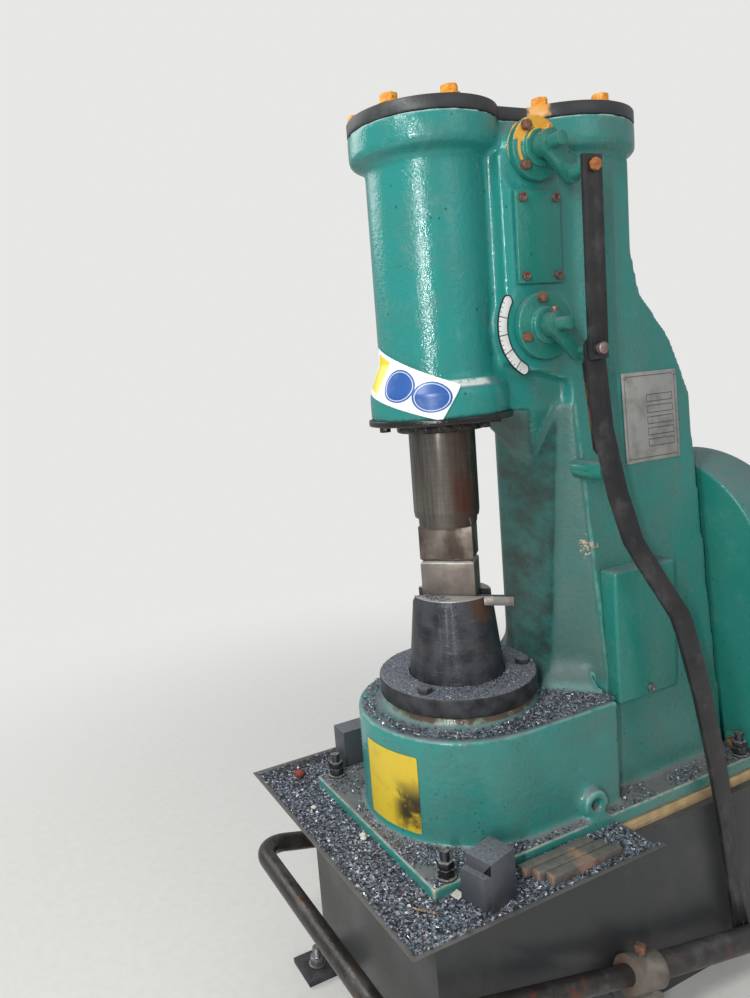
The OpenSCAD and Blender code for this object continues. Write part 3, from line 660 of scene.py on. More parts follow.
casting_nodes = ("base_casting", "column", "cylinder_block")
casting = skin_of("casting", *casting_nodes)
pedestal_top, barrel_foot = [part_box(node)[0].z for node in casting_nodes[1:]]
for vertex in casting.data.vertices:
    if min(abs(vertex.co.z - pedestal_top), abs(vertex.co.z - barrel_foot)) < 0.0001:
        vertex.co.z -= 0.002
modify(casting, "REMESH", mode="VOXEL", voxel_size=0.0044)
modify(casting, "SMOOTH", factor=0.5, iterations=5)
bpy.ops.object.shade_smooth()
settle(casting, green, "green_paint", "root", *casting_nodes)
flange_top = 0.286
pedestal_r = 0.141

ledge_spots = []
while len(ledge_spots) < 6500:
    x = dice.uniform(flange_low.x + 0.003, flange_high.x - 0.003)
    y = dice.uniform(flange_low.y + 0.003, 0.40)
    outside = math.hypot(x, y) - pedestal_r if y < 0 else abs(x) - pedestal_r
    if outside < 0.001 and (y < 0.155 or abs(x) < 0.118):
        continue
    corner = max(0, 1 - math.hypot(x - 0.13, y + 0.14) / 0.07)
    thick = (0.9 if x > 0.05 and y < 0.12 else 0.3) + corner
    if dice.random() < thick * (0.45 + noise.noise((x * 20, y * 20, 0))):
        lift = 0.004 * max(0, 1 - outside / 0.02) * (y < 0)
        ledge_spots.append((x, y, flange_top + lift * dice.random() + dice.uniform(0, 0.0012)))
while len(ledge_spots) < 15500:
    x, y = dice.uniform(-0.138, 0.138), dice.uniform(-0.138, 0.156)
    radius = math.hypot(x, y)
    wall = 0.118 + 0.75 * max(abs(x) - 0.04, 0)
    swept = 0.128 + 0.004 * noise.noise((x * 30, y * 30, 3))
    if y > wall - 0.004 or radius < 0.109 or (y < 0 and radius > 0.136):
        continue
    if y > 0.03 or (x > 0.06 and y > -0.02):
        share = 1.0
    elif x > 0.02:
        share = 1.0 if radius > 0.12 else 0.12
    else:
        share = 0.35 if abs(radius - swept) < 0.009 else 0.05
    if dice.random() < share * (0.75 + 0.5 * noise.noise((x * 25, y * 25, 5))):
        heaped = 0.006 * max(0, 1 - (wall - y) / 0.035) if y > 0.05 else 0.0025 * (share == 1)
        ledge_spots.append((x, y, pedestal_top + heaped * dice.random() + dice.uniform(0, 0.001)))
flakes("ledge_flakes", ledge_spots, 0.001, 0.0026, 6)


# Holding-down studs. Each corner of the flange is held by a stud with two nuts on a washer,
# dark with oil, pale dust on the washers.
holding = dark_steel_finish("holding_steel", base="34353a", rust=0.3, film="a9a79f", lies=0.7)
stud_x, front_y, rear_y = flange_high.x - 0.014, flange_low.y + 0.027, 0.385
nut_h = 0.013
corners = [
    (Vector((x, y, flange_top)), UP, turn)
    for x, y, turn in [
        (stud_x, front_y, 0), (-stud_x, front_y, 20), (stud_x, rear_y, 40), (-stud_x, rear_y, 60)
    ]
]
upper_nuts = [(point + Vector((0, 0, nut_h)), UP, turn + 14) for point, _, turn in corners]
fasten(
    "holding_nuts",
    holding,
    "dark_steel",
    (hex_head(0.019, 0.010, 0.027), corners),
    (hex_head(0.019, 0.009), upper_nuts),
    (stud(0.006, 0.034), corners),
)


# Top plate. One flat plate over both cylinders, in worn black, held by hexagon bolts whose
# heads were daubed with orange paint, and bedded on a smear of yellow jointing.
def on_circle(centre, radius, angle, first=0):
    """A point on a circle in the plane of two axes, X and Y, or from another first axis on."""
    spot = Vector(centre)
    spot[first] += radius * math.cos(math.radians(angle))
    spot[first + 1] += radius * math.sin(math.radians(angle))
    return spot


top_paint = black_finish("top_plate_paint", "313335", "7a7872")
plate_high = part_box("top_plate")[1]
pump_y = plate_high.y - plate_high.x
smear_at = (plate_high.x * 0.68, pump_y - plate_high.x * 0.73, plate_high.z - 0.006)
squeezed = top_paint.near(smear_at, 0.016, 0.012)
top_paint.surface(top_paint.coats(top_paint.tone, (squeezed * 0.9, "dd9a2c")))
dress("cover_plate", "top_plate", 0.0018, top_paint, "black_paint")

orange = Finish("daubed_orange")
daub = orange.cloud(160, 0.4, 0.62, 4)
chipped = orange.cloud(240, 0.62, 0.7) * 0.7
tone = orange.coats("e8a02c", (daub * 0.6, "c8741e"), (chipped, "5a4330"))
orange.surface(tone, daub.mix(0.35, 0.6), bump=(orange.cloud(220, 0.3, 0.7), 0.0008, 0.7))
plate_bolts = [
    (on_circle((0, middle_y, plate_high.z - 0.0002), radius, angle), UP, angle * 1.7)
    for middle_y, radius, angles in [
        (0, 0.082, (-60, -9, -120, -171)),
        (pump_y, 0.094, (-47, 2, 55, -133, 178, 125)),
    ]
    for angle in angles
]
fasten("top_bolts", orange, "rusty_steel", (hex_head(0.019, 0.0095, 0.026), plate_bolts))


# Gland. A black ring bolted up under the ram's cylinder holds the packing round the ram.
gland_paint = black_finish("gland_paint", "18191a", "2c2b29", 0.3)
dress("gland", "gland_ring", 0.0015, gland_paint, "black_paint")
gland_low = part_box("gland_ring")[0].z
gland_places = [(on_circle((0, 0, gland_low), 0.076, 12 + 60 * i), DOWN, 25 * i) for i in range(6)]
fasten("gland_bolts", gland_paint, "black_paint", (hex_head(0.013, 0.007, 0.017), gland_places))
wet = (80, 0.35, 0.65)
oily = mottled("oily_packing", "191714", "3a332a", 0.5, wet, (0.12, 0.5), relief=(0.002, 0.8))
dress("packing_lip", "ram_packing", 0.003, oily, "oily_packing", segments=3)


# Ram. A ground steel bar that slides in the front cylinder, wiped with oil that streaks it,
# brown where the oil has burnt on.
ram_steel = Finish("ram_steel")
streaks = ram_steel.cloud(260, 0.3, 0.7, 6, (1, 1, 0.05))
bands = ram_steel.cloud(34, 0.38, 0.62, 3, (1, 1, 0.05))
worn_round = ram_steel.cloud(90, 0.3, 0.7, 6, (0.5, 0.5, 3))
# The side of the bar turned to the right, away from the light, is painted darker: painted shade. The
# brown of burnt oil is laid on that side only.
shaded_side = (ram_steel.x * 0.55 + ram_steel.y * 0.83).step(-0.004, 0.022)
brown = ram_steel.cloud(20, 0.35, 0.65, 6, (1.4, 1.4, 0.4)) * shaded_side
skirt = ram_steel.z.step(0.699, 0.693)
tone = ram_steel.coats(
    "746f69",
    (bands * 0.8, "45413c"),
    (streaks * 0.3, "a8a49c"),
    (worn_round * 0.3, "57534d"),
    (shaded_side * 0.5, "453a35"),
    (brown * 0.8, "5e3023"),
    (skirt * 0.5, "55524d"),
)
rough = bands.mix(0.24, 0.4) + brown * 0.2 + skirt * 0.1
ram_steel.surface(tone, rough, 0.85, (streaks, 0.00015, 0.5))
dress("ram_bar", "ram", 0.001, ram_steel, "bright_steel", "ram")


# Dies. Hardened blocks with a dovetail on the back, keyed into the ram and the anvil, their
# sides brown with scale. The anvil die's face is bright steel; along the ram die's face a
# near-black band is painted as the shadow in the gap between the dies.
def die_finish(name, base, mottle, face_z, sign, stains=0.5, face="d3d0ca"):
    """Hardened steel, stained brown, its face of another tone. The sign is 1 if it faces up."""
    steel = Finish(name)
    patch = steel.cloud(50, 0.35, 0.65, 6)
    stain = steel.cloud(30, 0.42, 0.62, 7, (1, 1, 0.45), 0.6) * stains
    # The band along the die's face takes the face tone: bright steel on the anvil die, and on the ram
    # die a near-black painted shadow.
    bright = ((steel.z - face_z) * sign).step(-0.0042, -0.0018)
    tone = steel.coats(base, (patch * 0.6, mottle), (stain, "3d2f27"), (bright * 0.85, face))
    steel.surface(tone, patch.mix(0.36, 0.5) - bright * 0.1, 0.7, (patch, 0.0003, 0.5))
    return steel


die_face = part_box("lower_die")[1].z
no_face = 9.0
anvil_die = die_finish("anvil_die_steel", "877f78", "6b645e", die_face, 1, 0.3)
# The ram die's face tone is a painted shadow, the dark gap between the dies.
ram_die = die_finish("ram_die_steel", "7e746c", "544c46", die_face, -1, 0.8, "1d1a18")
key_steel = die_finish("key_steel", "74716d", "55514d", no_face, 1)
for name, node, width, finish, body in [
    ("anvil_die", "lower_die", 0.0009, anvil_die, "root"),
    ("ram_die", "upper_die", 0.0009, ram_die, "ram"),
    ("anvil_key", "lower_die_key", 0.0006, key_steel, "root"),
    ("ram_key", "upper_die_key", 0.0006, key_steel, "ram"),
]:
    dress(name, node, width, finish, "bright_steel", body)


# Anvil. A forged sow block stands in the pedestal, and a heavy ring round its foot is
# bolted down on it. Both are bare, dark with oil and grey with scale.
sow_steel = dark_steel_finish("sow_steel", "2d3035", "4d5157", 0.1, 0.36, metal=0.5)
sow_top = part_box("sow_block")[1].z
# A thin light line along the block's top edge is a painted highlight; the turned marks and the rust by
# the key are real.
rim_highlight = sow_steel.z.step(sow_top - 0.0016, sow_top - 0.0004)
turned = sow_steel.cloud(60, 0.55, 0.72, 8, (0.6, 0.6, 5), 0.7)
keyed = sow_steel.near((0.050, 0.012, sow_top - 0.012), 0.026, 0.02)
wear_and_highlight = (turned * 0.35, "858b91"), (keyed * 0.8, "5b4030"), (rim_highlight * 0.75, "bdb9b2")
sow_steel.surface(sow_steel.coats(sow_steel.tone, *wear_and_highlight))
dress("sow", "sow_block", 0.0012, sow_steel, "dark_steel")
ring_steel = dark_steel_finish(
    "ring_steel", "1e2124", "35383c", 0.12, film="979da5", lies=0.65, metal=0.5
)
dress("hold_down_ring", "clamp_ring", 0.0026, ring_steel, "dark_steel", segments=3)
ring_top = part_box("clamp_ring")[1].z
ring_places = [
    (on_circle((0, 0, ring_top), 0.091, angle), UP, turn)
    for angle, turn in [(-62, 10), (64, 41), (180, 72)]
]
ring_bolt_steel = dark_steel_finish("ring_bolt_steel", "4b4d50", film="858a90", lies=0.6)
fasten("ring_bolts", ring_bolt_steel, "dark_steel", (hex_head(0.018, 0.0075), ring_places))
ring_spots = []
while len(ring_spots) < 5200:
    angle, radius = dice.uniform(0, 6.2832), math.sqrt(dice.uniform(0.066**2, 0.1065**2))
    x, y = radius * math.cos(angle), radius * math.sin(angle)
    share = 0.9 if x * 0.9 + y * 0.5 > 0 or radius < 0.069 else 0.3
    if dice.random() < share * (0.6 + noise.noise((x * 25, y * 25, 9))):
        ring_spots.append((x, y, ring_top + 0.0003))
while len(ring_spots) < 5600:
    x, y = dice.gauss(0.004, 0.017), dice.gauss(-0.036, 0.006)
    if math.hypot(x, y) < 0.051 and abs(x - y) * 0.7071 > 0.023:
        ring_spots.append((x, y, sow_top + 0.0003 + 0.001 * dice.random()))
flakes("ring_flakes", ring_spots, 0.0006, 0.0016, 8, slant=0.25)


# Valve covers. Each is a round flange with a boss for the valve's shaft, cast and painted
# green in place with rusty bolts, and a bead of yellow jointing squeezed out of the upper one.
cover_paint = green_finish("green_covers", "23786c", 0.18, 0.7)
upper_paint = green_finish("green_upper_cover", "23786c", 0.22, 0.7)
rusty = mottled("rusty_bolts", "66493a", "946e57", 0.7, (200, 0.35, 0.65, 6), 0.65, 0.3, (0.0005, 0.8))
lower_low, lower_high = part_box("lower_valve_cover")
upper_low, upper_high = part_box("upper_valve_cover")
valve_y, lower_z = (lower_low.y + lower_high.y) / 2, (lower_low.z + lower_high.z) / 2
upper_z = (upper_low.z + upper_high.z) / 2
joint_y, joint_z = upper_paint.y - valve_y, upper_paint.z - upper_z
turn = joint_y.math("ARCTAN2", 0 - joint_z, 0 - joint_y) + (upper_paint.cloud(90, 0, 1) - 0.5) * 0.5
out = far(joint_y, joint_z)
drip = turn.band(-0.6, -0.5, 0.65, 0.6) * out.band(0.0265, 0.027, 0.0315, 0.031)
out = out + (upper_paint.cloud(120, 0, 1) - 0.5) * 0.004
patch = turn.band(-2.4, -2.3, -0.25, -0.35) * out.band(0.0205, 0.0215, 0.0395, 0.0385)
patch = patch.math("MAXIMUM", patch, drip) * upper_paint.facing[0].step(0.4, 0.8)
upper_paint.surface(upper_paint.coats(upper_paint.tone, (patch * 0.95, "dda12c")))
dress("upper_cover", "upper_valve_cover", 0.002, upper_paint, "green_paint", segments=3)
dress("lower_cover", "lower_valve_cover", 0.002, cover_paint, "green_paint", segments=3)
flange_t = 0.011
valve_places = [
    (on_circle((low.x + flange_t, valve_y, middle_z), radius, angle, 1), RIGHT, angle)
    for middle_z, low, radius, angles in [
        (lower_z, lower_low, 0.035, (100, 201, 325)),
        (upper_z, upper_low, 0.031, (127, 223, 340)),
    ]
    for angle in angles
]
fasten("valve_bolts", rusty, "rusty_steel", (hex_head(0.0105, 0.006, 0.013), valve_places))

lumpy = (140, 0.3, 0.7, 5)
jointing = mottled("yellow_jointing", "e3a52e", "c07f22", 0.6, lumpy, 0.45, relief=(0.0012, 0.8))
bpy.ops.mesh.primitive_uv_sphere_add(segments=14, ring_count=60, radius=1)
bead = bpy.context.object
bead.name = "jointing_bead"
for vertex in bead.data.vertices:
    share = (1 - vertex.co.z) / 2
    thick = 0.0014 + 0.0011 * noise.noise((share * 9, 2, 5))
    middle = (upper_low.x + 0.0008 + thick * vertex.co.x, valve_y, upper_z)
    bead_r = upper_high.z - upper_z - 0.001 + thick * vertex.co.y
    vertex.co = on_circle(middle, bead_r, 60 + 150 * share, 1)
bpy.ops.object.shade_smooth()
settle(bead, jointing, None)


# Dial. A thin white plate clamped under the lower cover. A curved scale with a black border,
# rounded ends and plain divisions is printed on it, which the lever's pointer is read against.
dial_ink = Finish("dial_print")
dy, dz = valve_y - dial_ink.y, lower_z - dial_ink.z
angle = dy.math("ARCTAN2", dz, dy)
out = far(dy, dz)
dial_low, dial_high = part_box("dial_plate")
strip_r = max(dial_high.z - lower_z, valve_y - dial_low.y) - 0.008
strip_half = 0.0078
first, last = math.radians(-33), math.radians(60)
past = angle.math("MAXIMUM", angle - last, first - angle)
past = past.math("MAXIMUM", past, 0.0) * strip_r
border = far(out - strip_r, past).step(strip_half - 0.0019, strip_half - 0.0014)
on_scale = past.step(0.0004, 0.0001)


def division(every, width, inner):
    """Dark radial strokes every so many degrees, from a radius to the scale's outer edge."""
    wrapped = angle.math("PINGPONG", angle * (180 / math.pi) + 34, every / 2)
    outer = strip_r + strip_half
    stroke = wrapped.step(width, width * 0.7) * on_scale
    return stroke * out.band(inner - 0.0003, inner, outer + 0.0003, outer)


ink = border.math("MAXIMUM", border, division(21, 0.7, strip_r - strip_half))
ink = ink.math("MAXIMUM", ink, division(5.25, 0.4, strip_r + 0.003))
tone = dial_ink.coats("dcdedb", (dial_ink.cloud(60, 0.5, 0.75) * 0.35, "8f8d84"), (ink, "18191b"))
dial_ink.surface(tone, 0.4)
dress("dial", "dial_plate", 0.0004, dial_ink, "white_plate")


# Side covers. The upper one is a flat plate over the air passage, and the lower one a boxed
# cover over the motor in the column's foot. Each is held by small rusty screws.
dress("air_cover", "upper_side_cover", 0.0016, cover_paint, "green_paint", segments=3)
dress("foot_cover", "lower_side_cover", 0.0045, cover_paint, "green_paint", segments=3)
air_low, air_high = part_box("upper_side_cover")
foot_low, foot_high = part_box("lower_side_cover")


def round_head(radius, height):
    """A round cap screw with a socket in its face, standing on z = 0."""
    head = cylinder(24, radius, height)
    bpy.ops.object.transform_apply()
    with editing(lambda middle: middle.z > height * 0.9):
        bpy.ops.mesh.inset(thickness=radius * 0.42)
        bpy.ops.mesh.extrude_region_move(TRANSFORM_OT_translate={"value": (0, 0, -height * 0.5)})
    ease(head, radius * 0.14)
    return head


inset = 0.009
screw_places = [
    ((air_high.x, y, z), RIGHT, 0)
    for y in (air_low.y + inset, air_high.y - inset)
    for z in (air_low.z + inset, air_high.z - inset)
]
screw_steel = mottled("pinkish_screws", "94746c", "5c4238", 0.7, (220, 0.35, 0.65, 5), 0.45, 0.6)
fasten("cover_screws", screw_steel, "rusty_steel", (round_head(0.0055, 0.005), screw_places))
foot_place = [((foot_high.x, 0.229, foot_low.z + 0.012), RIGHT, 0)]
fasten("foot_cover_screw", dull_zinc, "dark_steel", (round_head(0.006, 0.005), foot_place))


# Nameplate. A bare aluminium plate with a thin border and empty boxes, on four rivets.
plate_metal = Finish("bare_plate")
name_low, name_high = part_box("nameplate")
across = (plate_metal.y - name_low.y) / (name_high.y - name_low.y)
along = (plate_metal.z - name_low.z) / (name_high.z - name_low.z)


def filled(left, right, bottom, top, soft=0.002):
    """1 inside a box on the plate, in shares of its width and height."""
    upright = along.band(bottom - soft, bottom, top + soft, top)
    return across.band(left - soft, left, right + soft, right) * upright


def outline(left, right, bottom, top, line=0.010):
    core = filled(left + line, right - line, bottom + line, top - line)
    return filled(left, right, bottom, top) * (1 - core)


def rivet(radius, height):
    """A snap head: a flattened dome that stands on z = 0."""
    bpy.ops.mesh.primitive_uv_sphere_add(segments=20, ring_count=10, radius=radius)
    head = bpy.context.object
    with editing():
        bpy.ops.mesh.bisect(plane_co=(0, 0, 0), plane_no=UP, use_fill=True, clear_inner=True)
        bpy.ops.mesh.select_all(action="SELECT")
        bpy.ops.transform.resize(value=(1, 1, height / radius))
    bpy.ops.object.shade_smooth_by_angle(angle=math.radians(50))
    return head


lines = outline(0.04, 0.96, 0.04, 0.96)
for row in range(5):
    lines = lines + outline(0.42, 0.9, 0.16 + 0.125 * row, 0.245 + 0.125 * row)
lines = lines.math("MINIMUM", lines, 1.0)
smudge = plate_metal.cloud(40, 0.4, 0.7, 6)
tone = plate_metal.coats("a9a8a4", (smudge * 0.6, "7b7973"), (lines * 0.75, "2b2b2d"))
plate_metal.surface(tone, smudge.mix(0.4, 0.6), 0.45)
dress("nameplate_sheet", "nameplate", 0.0004, plate_metal, "plain_aluminium")
name_slope = (name_high.x - name_low.x - 0.0012) / (name_high.z - name_low.z)
rivet_inset = 0.006
rivet_places = [
    ((name_high.x - name_slope * (z - name_low.z) - 0.0003, y, z), RIGHT, 0)
    for y in (name_low.y + rivet_inset, name_high.y - rivet_inset)
    for z in (name_low.z + rivet_inset, name_high.z - rivet_inset)
]
fasten("nameplate_rivets", dull_zinc, "plain_aluminium", (rivet(0.0024, 0.0014), rivet_places))


# Stickers. A white one with two plain blue discs and a plain yellow bar, bridging the neck
# between the cylinder and its collar, and a grimy yellow one on the pedestal. Printed vinyl.
def sticker(name, finish, corners, radius_at):
    """A sheet between four corners, each an angle from the front and a height, round the casting."""
    bpy.ops.mesh.primitive_grid_add(x_subdivisions=40, y_subdivisions=20, size=1)
    sheet = bpy.context.object
    sheet.name = name
    low_left, low_right, top_right, top_left = [Vector(c) for c in corners]
    for vertex in sheet.data.vertices:
        u, v = vertex.co.x + 0.5, vertex.co.y + 0.5
        pull = 1.2 * max(0, abs(2 * u - 1) - 0.9) * max(0, abs(2 * v - 1) - 0.9)
        u, v = u + (0.5 - u) * pull, v + (0.5 - v) * pull
        angle, height = low_left.lerp(low_right, u).lerp(top_left.lerp(top_right, u), v)
        vertex.co = on_circle((0, 0, height), radius_at(height), angle - 90)
    modify(sheet, "SOLIDIFY", thickness=0.0004, offset=1.0)
    bpy.ops.object.shade_smooth_by_angle(angle=math.radians(40))
    settle(sheet, finish, "white_plate")


def neck(height):
    """How far out the white sheet stands, where it bridges from the barrel to its lower ring."""
    return 0.0774 + 0.015 * min(1, max(0, (0.893 - height) / 0.04))


vinyl = Finish("white_vinyl")
u, v, _ = vinyl.split(vinyl.node("UVMap", {"uv_map": "UVMap"}))


def disc(centre_u, radius):
    """A plain disc on the white sticker, whose width is 2.3 times its height."""
    return far((u - centre_u) * 2.3, v - 0.5).step(radius + 0.01, radius)


discs = disc(0.495, 0.38) + disc(0.825, 0.38)
rings_in = disc(0.495, 0.34) - disc(0.495, 0.32) + disc(0.825, 0.34) - disc(0.825, 0.32)
bar = u.band(0.04, 0.05, 0.27, 0.26) * v.band(0.1, 0.11, 0.9, 0.89)
tone = vinyl.coats(
    "eef3f4",
    (discs, "2a589e"),
    (rings_in * 0.7, "eef3f4"),
    (bar, "e6d22c"),
    (vinyl.cloud(60, 0.58, 0.75) * 0.25, "8f989a"),
)
vinyl.surface(tone, 0.3)
white_corners = [(-26, 0.862), (57.2, 0.820), (74, 0.862), (-15.6, 0.916)]
sticker("white_label", vinyl, white_corners, neck)

yellow_vinyl = Finish("yellow_vinyl")
grubby = yellow_vinyl.cloud(28, 0.38, 0.58, 7, rough=0.6)
grubby = grubby * yellow_vinyl.x.step(0.03, 0.055) * yellow_vinyl.z.step(0.38, 0.34)
tone = yellow_vinyl.coats(
    "d2b830",
    (yellow_vinyl.cloud(14, 0.4, 0.7) * 0.4, "d3ad28"),
    (grubby, "3a301c"),
    (yellow_vinyl.cloud(50, 0.55, 0.7) * 0.3, "8c762a"),
)
yellow_vinyl.surface(tone, 0.35)
yellow_corners = [(-5.2, 0.299), (32.2, 0.299), (32.2, 0.403), (-5.2, 0.403)]
sticker("yellow_label", yellow_vinyl, yellow_corners, lambda height: pedestal_r + 0.0006)


# Belt guard. A drum of welded sheet behind the column, green, with a brushed film of dust
# on its round top, held to the base by a bracket and a rusty bolt on each side.
dress("guard", "belt_guard", 0.006, cover_paint, "green_paint", segments=3)
dress("brackets", "guard_bracket", 0.0015, cover_paint, "green_paint")
bracket_low, bracket_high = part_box("guard_bracket")
bracket_x, bracket_z = bracket_high.x - 0.014, bracket_high.z - 0.012
bracket_places = [((x, bracket_low.y, bracket_z), (0, -1, 0), 15) for x in (-bracket_x, bracket_x)]
fasten("bracket_bolts", rusty, "rusty_steel", (hex_head(0.013, 0.007, 0.018), bracket_places))


# Levers and links. Flat bar, drilled for pins. The levers are painted green, the links black
# over mill scale and rubbed. The lower lever carries both links, and the long one is joggled
# out round the stand.
lever_paint = green_finish("green_levers", "276f63", dust=0.9)
link_paint = Finish("link_paint")
tint = link_paint.cloud(16, 0.35, 0.65, 6)
thin = link_paint.cloud(40, 0.5, 0.72, 7, rough=0.6)
tone = link_paint.coats("2b2c2e", (tint * 0.6, "45413f"), (thin * 0.2, "77787c"))
grain = link_paint.cloud(300, 0.3, 0.7)
link_paint.surface(tone, tint.mix(0.32, 0.5), 0.35, (grain, 0.0002, 0.6))
for name, node, finish, slot, body in [
    ("lower_lever_arm", "lower_valve_lever", lever_paint, "dark_steel", "lower_lever"),
    ("upper_lever_arm", "upper_valve_lever", lever_paint, "dark_steel", "upper_lever"),
    ("upper_link_bar", "upper_link", link_paint, "black_paint", "upper_link"),
    ("long_link_bar", "long_link", link_paint, "black_paint", "long_link"),
]:
    dress(name, node, 0.0012, finish, slot, body)
link_low, link_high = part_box("upper_link")
pin_y = (link_low.y + link_high.y) / 2
link_end = 0.013
nut_rust = mottled("pin_nut_rust", "b9743a", "7c4526", 0.7, (180, 0.35, 0.65, 5), 0.65)
top_pin = (hex_head(0.0135, 0.006), [((link_high.x + 0.001, pin_y, link_high.z - link_end), RIGHT, 10)])
fasten("top_pin_nut", nut_rust, "rusty_steel", top_pin, body="upper_lever")
hub_x, hub_top = 0.1155, 0.0155
set_bolt = (hex_head(0.0095, 0.006), [((hub_x, valve_y, upper_z + hub_top), UP, 25)])
fasten("lever_set_bolt", orange, "rusty_steel", set_bolt, body="upper_lever")
set_screw = (round_head(0.0042, 0.006), [((hub_x, valve_y, lower_z + hub_top), UP, 0)])
fasten("lever_set_screw", screw_steel, "rusty_steel", set_screw, body="lower_lever")
low_pin_z = link_low.z + link_end
neck_x, head_x = link_high.x - 0.001, 0.1595
pin_head = (rivet(0.0075, 0.003), [((head_x, pin_y, low_pin_z), RIGHT, 0)])
pin_neck = (stud(0.0068, head_x - neck_x + 0.0005, 0.0001), [((neck_x, pin_y, low_pin_z), RIGHT, 0)])
pink_steel = zinc_finish("pink_steel", "a08c86", "6a5048")
fasten("low_pin_rivet", pink_steel, "dark_steel", pin_head, pin_neck, body="lower_lever")


# Return spring. A close-wound tension spring of rusty wire, hooked on a boss on the column
# and on a stud of the lower lever, so that it stretches when the treadle goes down.
dress("spring_anchor", "spring_boss", 0.0015, cover_paint, "green_paint")
spring_low, spring_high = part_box("return_spring")
spring_x = (spring_low.x + spring_high.x) / 2
spring_foot = Vector((spring_x, 0.148, spring_low.z + 0.002))
spring_head = Vector((spring_x, pin_y, spring_high.z + 0.002))
coil_r, turns = 0.0047, 40
reach = spring_head - spring_foot
side = reach.cross(Vector(RIGHT)).normalized()
other = side.cross(reach.normalized())
wire = bpy.data.curves.new("spring_wire", "CURVE")
wire.dimensions = "3D"
wire.bevel_depth = 0.0012
wire.bevel_resolution = 2
wire.use_fill_caps = True
coil = wire.splines.new("POLY")
steps = turns * 14
coil.points.add(steps)
for i in range(steps + 1):
    share = i / steps
    turn = 2 * math.pi * turns * share
    pinch = min(1, 0.15 + 14 * share, 0.15 + 14 * (1 - share))
    outward = (side * math.cos(turn) + other * math.sin(turn)) * coil_r * pinch
    coil.points[i].co = (*(spring_foot + reach * (0.05 + 0.9 * share) + outward), 1)
spring = bpy.data.objects.new("return_spring_coil", wire)
bpy.context.collection.objects.link(spring)
bpy.ops.object.select_all(action="DESELECT")
spring.select_set(True)
bpy.context.view_layer.objects.active = spring
bpy.ops.object.convert(target="MESH")
spring = bpy.context.object
bpy.ops.object.shade_smooth()
spring_rust = Finish("spring_rust")
low_z, high_z = spring_low.z + 0.02, spring_high.z - 0.02
coppery = spring_rust.z.band(low_z, low_z + 0.04, high_z, high_z - 0.05)
tone = spring_rust.coats("37302d", (coppery * spring_rust.cloud(30, 0.3, 0.6), "96583a"))
spring_rust.surface(tone, 0.45, 0.5)
spring.data.materials.clear()
spring.data.materials.append(spring_rust.material)
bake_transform(spring)
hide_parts("return_spring")


# Treadle. A loop of steel tube round the front, polished by boots, set in cast tees on a
# pivot tube across the stand. One rear arm works the long link, and a square-headed bolt
# locks each tee.
tube = Finish("treadle_tube")
mottle = tube.cloud(30, 0.35, 0.7, 7, rough=0.6)
scraped = tube.cloud(24, 0.52, 0.66, 7, (0.4, 1, 2), 0.65)
reddish = tube.cloud(45, 0.6, 0.7, 6)
rear_left = tube.x.step(-0.02, -0.06) * tube.y.step(0.05, 0.07)
tone = tube.coats(
    "2c2a28",
    (mottle * 0.6, "4b4744"),
    (scraped * 0.6, "77726c"),
    (reddish * 0.7, "6b3a26"),
    (rear_left * tube.cloud(22, 0.3, 0.55, 6), "9c6038"),
)
rough = mottle.mix(0.3, 0.46) + rear_left * 0.25
tube.surface(tone, rough, scraped.mix(0.3, 0.8), (tube.cloud(240, 0.3, 0.7), 0.0003, 0.6))
arm_steel = dark_steel_finish("arm_steel", "504c49", "8a8682", 0.3, 0.35)
tee_iron = dark_steel_finish("tee_iron", "7d7468", "b3a999", 0.6, 0.55, metal=0.4)
dress("treadle_tube_loop", "treadle_loop", 0.0016, tube, "black_paint", "treadle")
dress("treadle_rear_arms", "treadle_arms", 0.0016, arm_steel, "dark_steel", "treadle")
dress("treadle_tees", "treadle_clamps", 0.0016, tee_iron, "dark_steel", "treadle")
dress("pivot_plates", "treadle_bearings", 0.0015, box_paint, "dark_steel")
bpy.ops.mesh.primitive_cube_add(size=1, location=(0, 0, 0.009))
square = bpy.context.object
bpy.ops.transform.resize(value=(0.012, 0.012, 0.010))
bpy.ops.object.transform_apply()
ease(square, 0.0012, 3)
square_head = joined("square_head", square, stud(0.0042, 0.006))
tee_places = [((0.204 * side, 0.115, 0.1168), UP, 30 * side) for side in (-1, 1)]
fasten("tee_bolts", rusty, "rusty_steel", (square_head, tee_places), body="treadle")


# Spares in the tray. A dovetailed die and three taper keys, rusty and grey with scale.
spare_steel = dark_steel_finish("spare_steel", "5a5e63", "8d9196", 0.1, 0.4, "8b8f95", 0.5, 0.5)
dress("spare_blocks", "spare_dies", 0.0012, spare_steel, "dark_steel")
key_rust = Finish("key_rust")
patches = key_rust.cloud(26, 0.5, 0.66, 7, rough=0.6)
grain = key_rust.cloud(120, 0.3, 0.7, 5)
tone = key_rust.coats("8c857e", (grain * 0.5, "6b645e"), (patches * 0.75, "a97f60"))
key_rust.surface(tone, patches.mix(0.4, 0.7), patches.mix(0.5, 0.1), (grain, 0.0003, 0.7))
dress("taper_keys", "spare_keys", 0.001, key_rust, "rusty_steel")


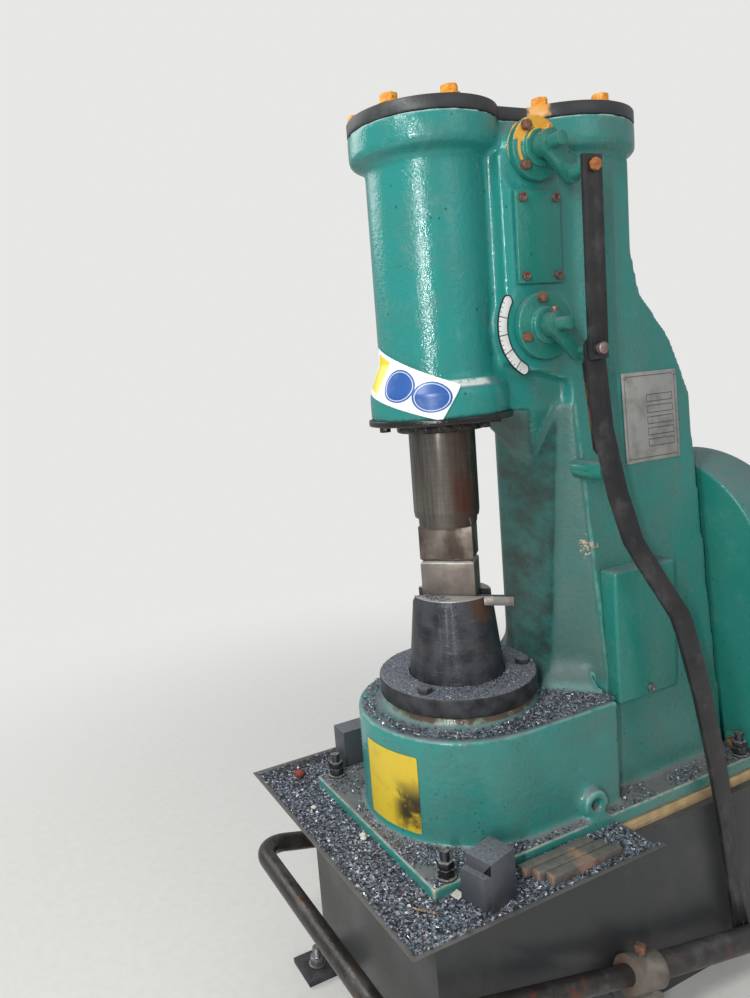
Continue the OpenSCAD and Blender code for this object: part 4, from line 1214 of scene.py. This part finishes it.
# Floor, lights and camera. A plain pale floor that keeps the hammer's shadow and runs into
# the plain backdrop, soft lamps, and the photograph's own angle.
backdrop = (0.80, 0.80, 0.785, 1)
pale_floor = mottled("pale_floor", "dcdbd6", "cfcdc6", 0.3, (60, 0.3, 0.7, 6), 0.85)
from_middle = pale_floor.node("VectorMath", {"operation": "LENGTH"}, {0: pale_floor.place}, 1)
far_off = from_middle.step(0.7, 2.0) * pale_floor.node("LightPath", output="Is Camera Ray")
glow = pale_floor.node("Emission", {}, {"Color": backdrop, "Strength": 1.0})
lit = Value(pale_floor, pale_floor.shader.outputs[0])
mixed = pale_floor.node("MixShader", {}, {0: far_off, 1: lit, 2: glow})
pale_floor.put(mixed, pale_floor.tree.nodes["Material Output"].inputs["Surface"])
bpy.ops.mesh.primitive_plane_add(size=60, location=(0, 0, 0))
ground = bpy.context.object
ground.name = "ground"
ground.data.materials.append(pale_floor.material)

world = bpy.data.worlds.new("studio")
bpy.context.scene.world = world
world.use_nodes = True
sky = world.node_tree
back = sky.nodes["Background"]
path = sky.nodes.new("ShaderNodeLightPath")
shown = sky.nodes.new("ShaderNodeMix")
shown.data_type = "RGBA"
shown.inputs[6].default_value = (0.42, 0.43, 0.45, 1)
shown.inputs[7].default_value = backdrop
sky.links.new(path.outputs["Is Camera Ray"], shown.inputs[0])
sky.links.new(shown.outputs[2], back.inputs["Color"])
back.inputs["Strength"].default_value = 1.0

for name, place, aim, size, power in [
    ("tube_light", (0.95, -2.0, 2.7), (0, 0.1, 0.8), (0.4, 1.4), 38),
    ("strip_light", (1.57, -1.65, 1.28), (0, 0, 1.0), (0.03, 0.8), 26),
    ("side_fill", (2.4, 0.6, 1.9), (0, 0.2, 0.6), (1.2, 1.2), 5),
    ("far_fill", (-2.2, -1.2, 2.2), (0, 0, 0.7), (1.6, 1.6), 26),
]:
    lamp = bpy.data.lights.new(name, "AREA")
    lamp.shape = "RECTANGLE"
    lamp.size, lamp.size_y = size
    lamp.energy = power
    light = bpy.data.objects.new(name, lamp)
    bpy.context.collection.objects.link(light)
    light.location = place
    light.rotation_euler = (Vector(aim) - Vector(place)).to_track_quat("-Z", "Y").to_euler()

yaw, pitch, roll = math.radians(64.751), math.radians(8.094), math.radians(-4.983)
forward = Vector((-math.sin(yaw) * math.cos(pitch), math.cos(yaw) * math.cos(pitch), -math.sin(pitch)))
level = Vector((math.cos(yaw), math.sin(yaw), 0))
upright = level.cross(forward)
cam_right = level * math.cos(roll) + upright * math.sin(roll)
cam_up = upright * math.cos(roll) - level * math.sin(roll)
eye = bpy.data.cameras.new("camera")
eye.sensor_width = 36
eye.lens = 28.49
eye.shift_x = 0.0486
eye.shift_y = -0.0142
eye.clip_start = 0.02
camera = bpy.data.objects.new("camera", eye)
bpy.context.collection.objects.link(camera)
axes = Matrix((cam_right, cam_up, -forward)).transposed().to_4x4()
camera.matrix_world = Matrix.Translation((0.8833, -0.5924, 0.8908)) @ axes
bpy.context.scene.camera = camera
bpy.context.scene.view_settings.view_transform = "Standard"
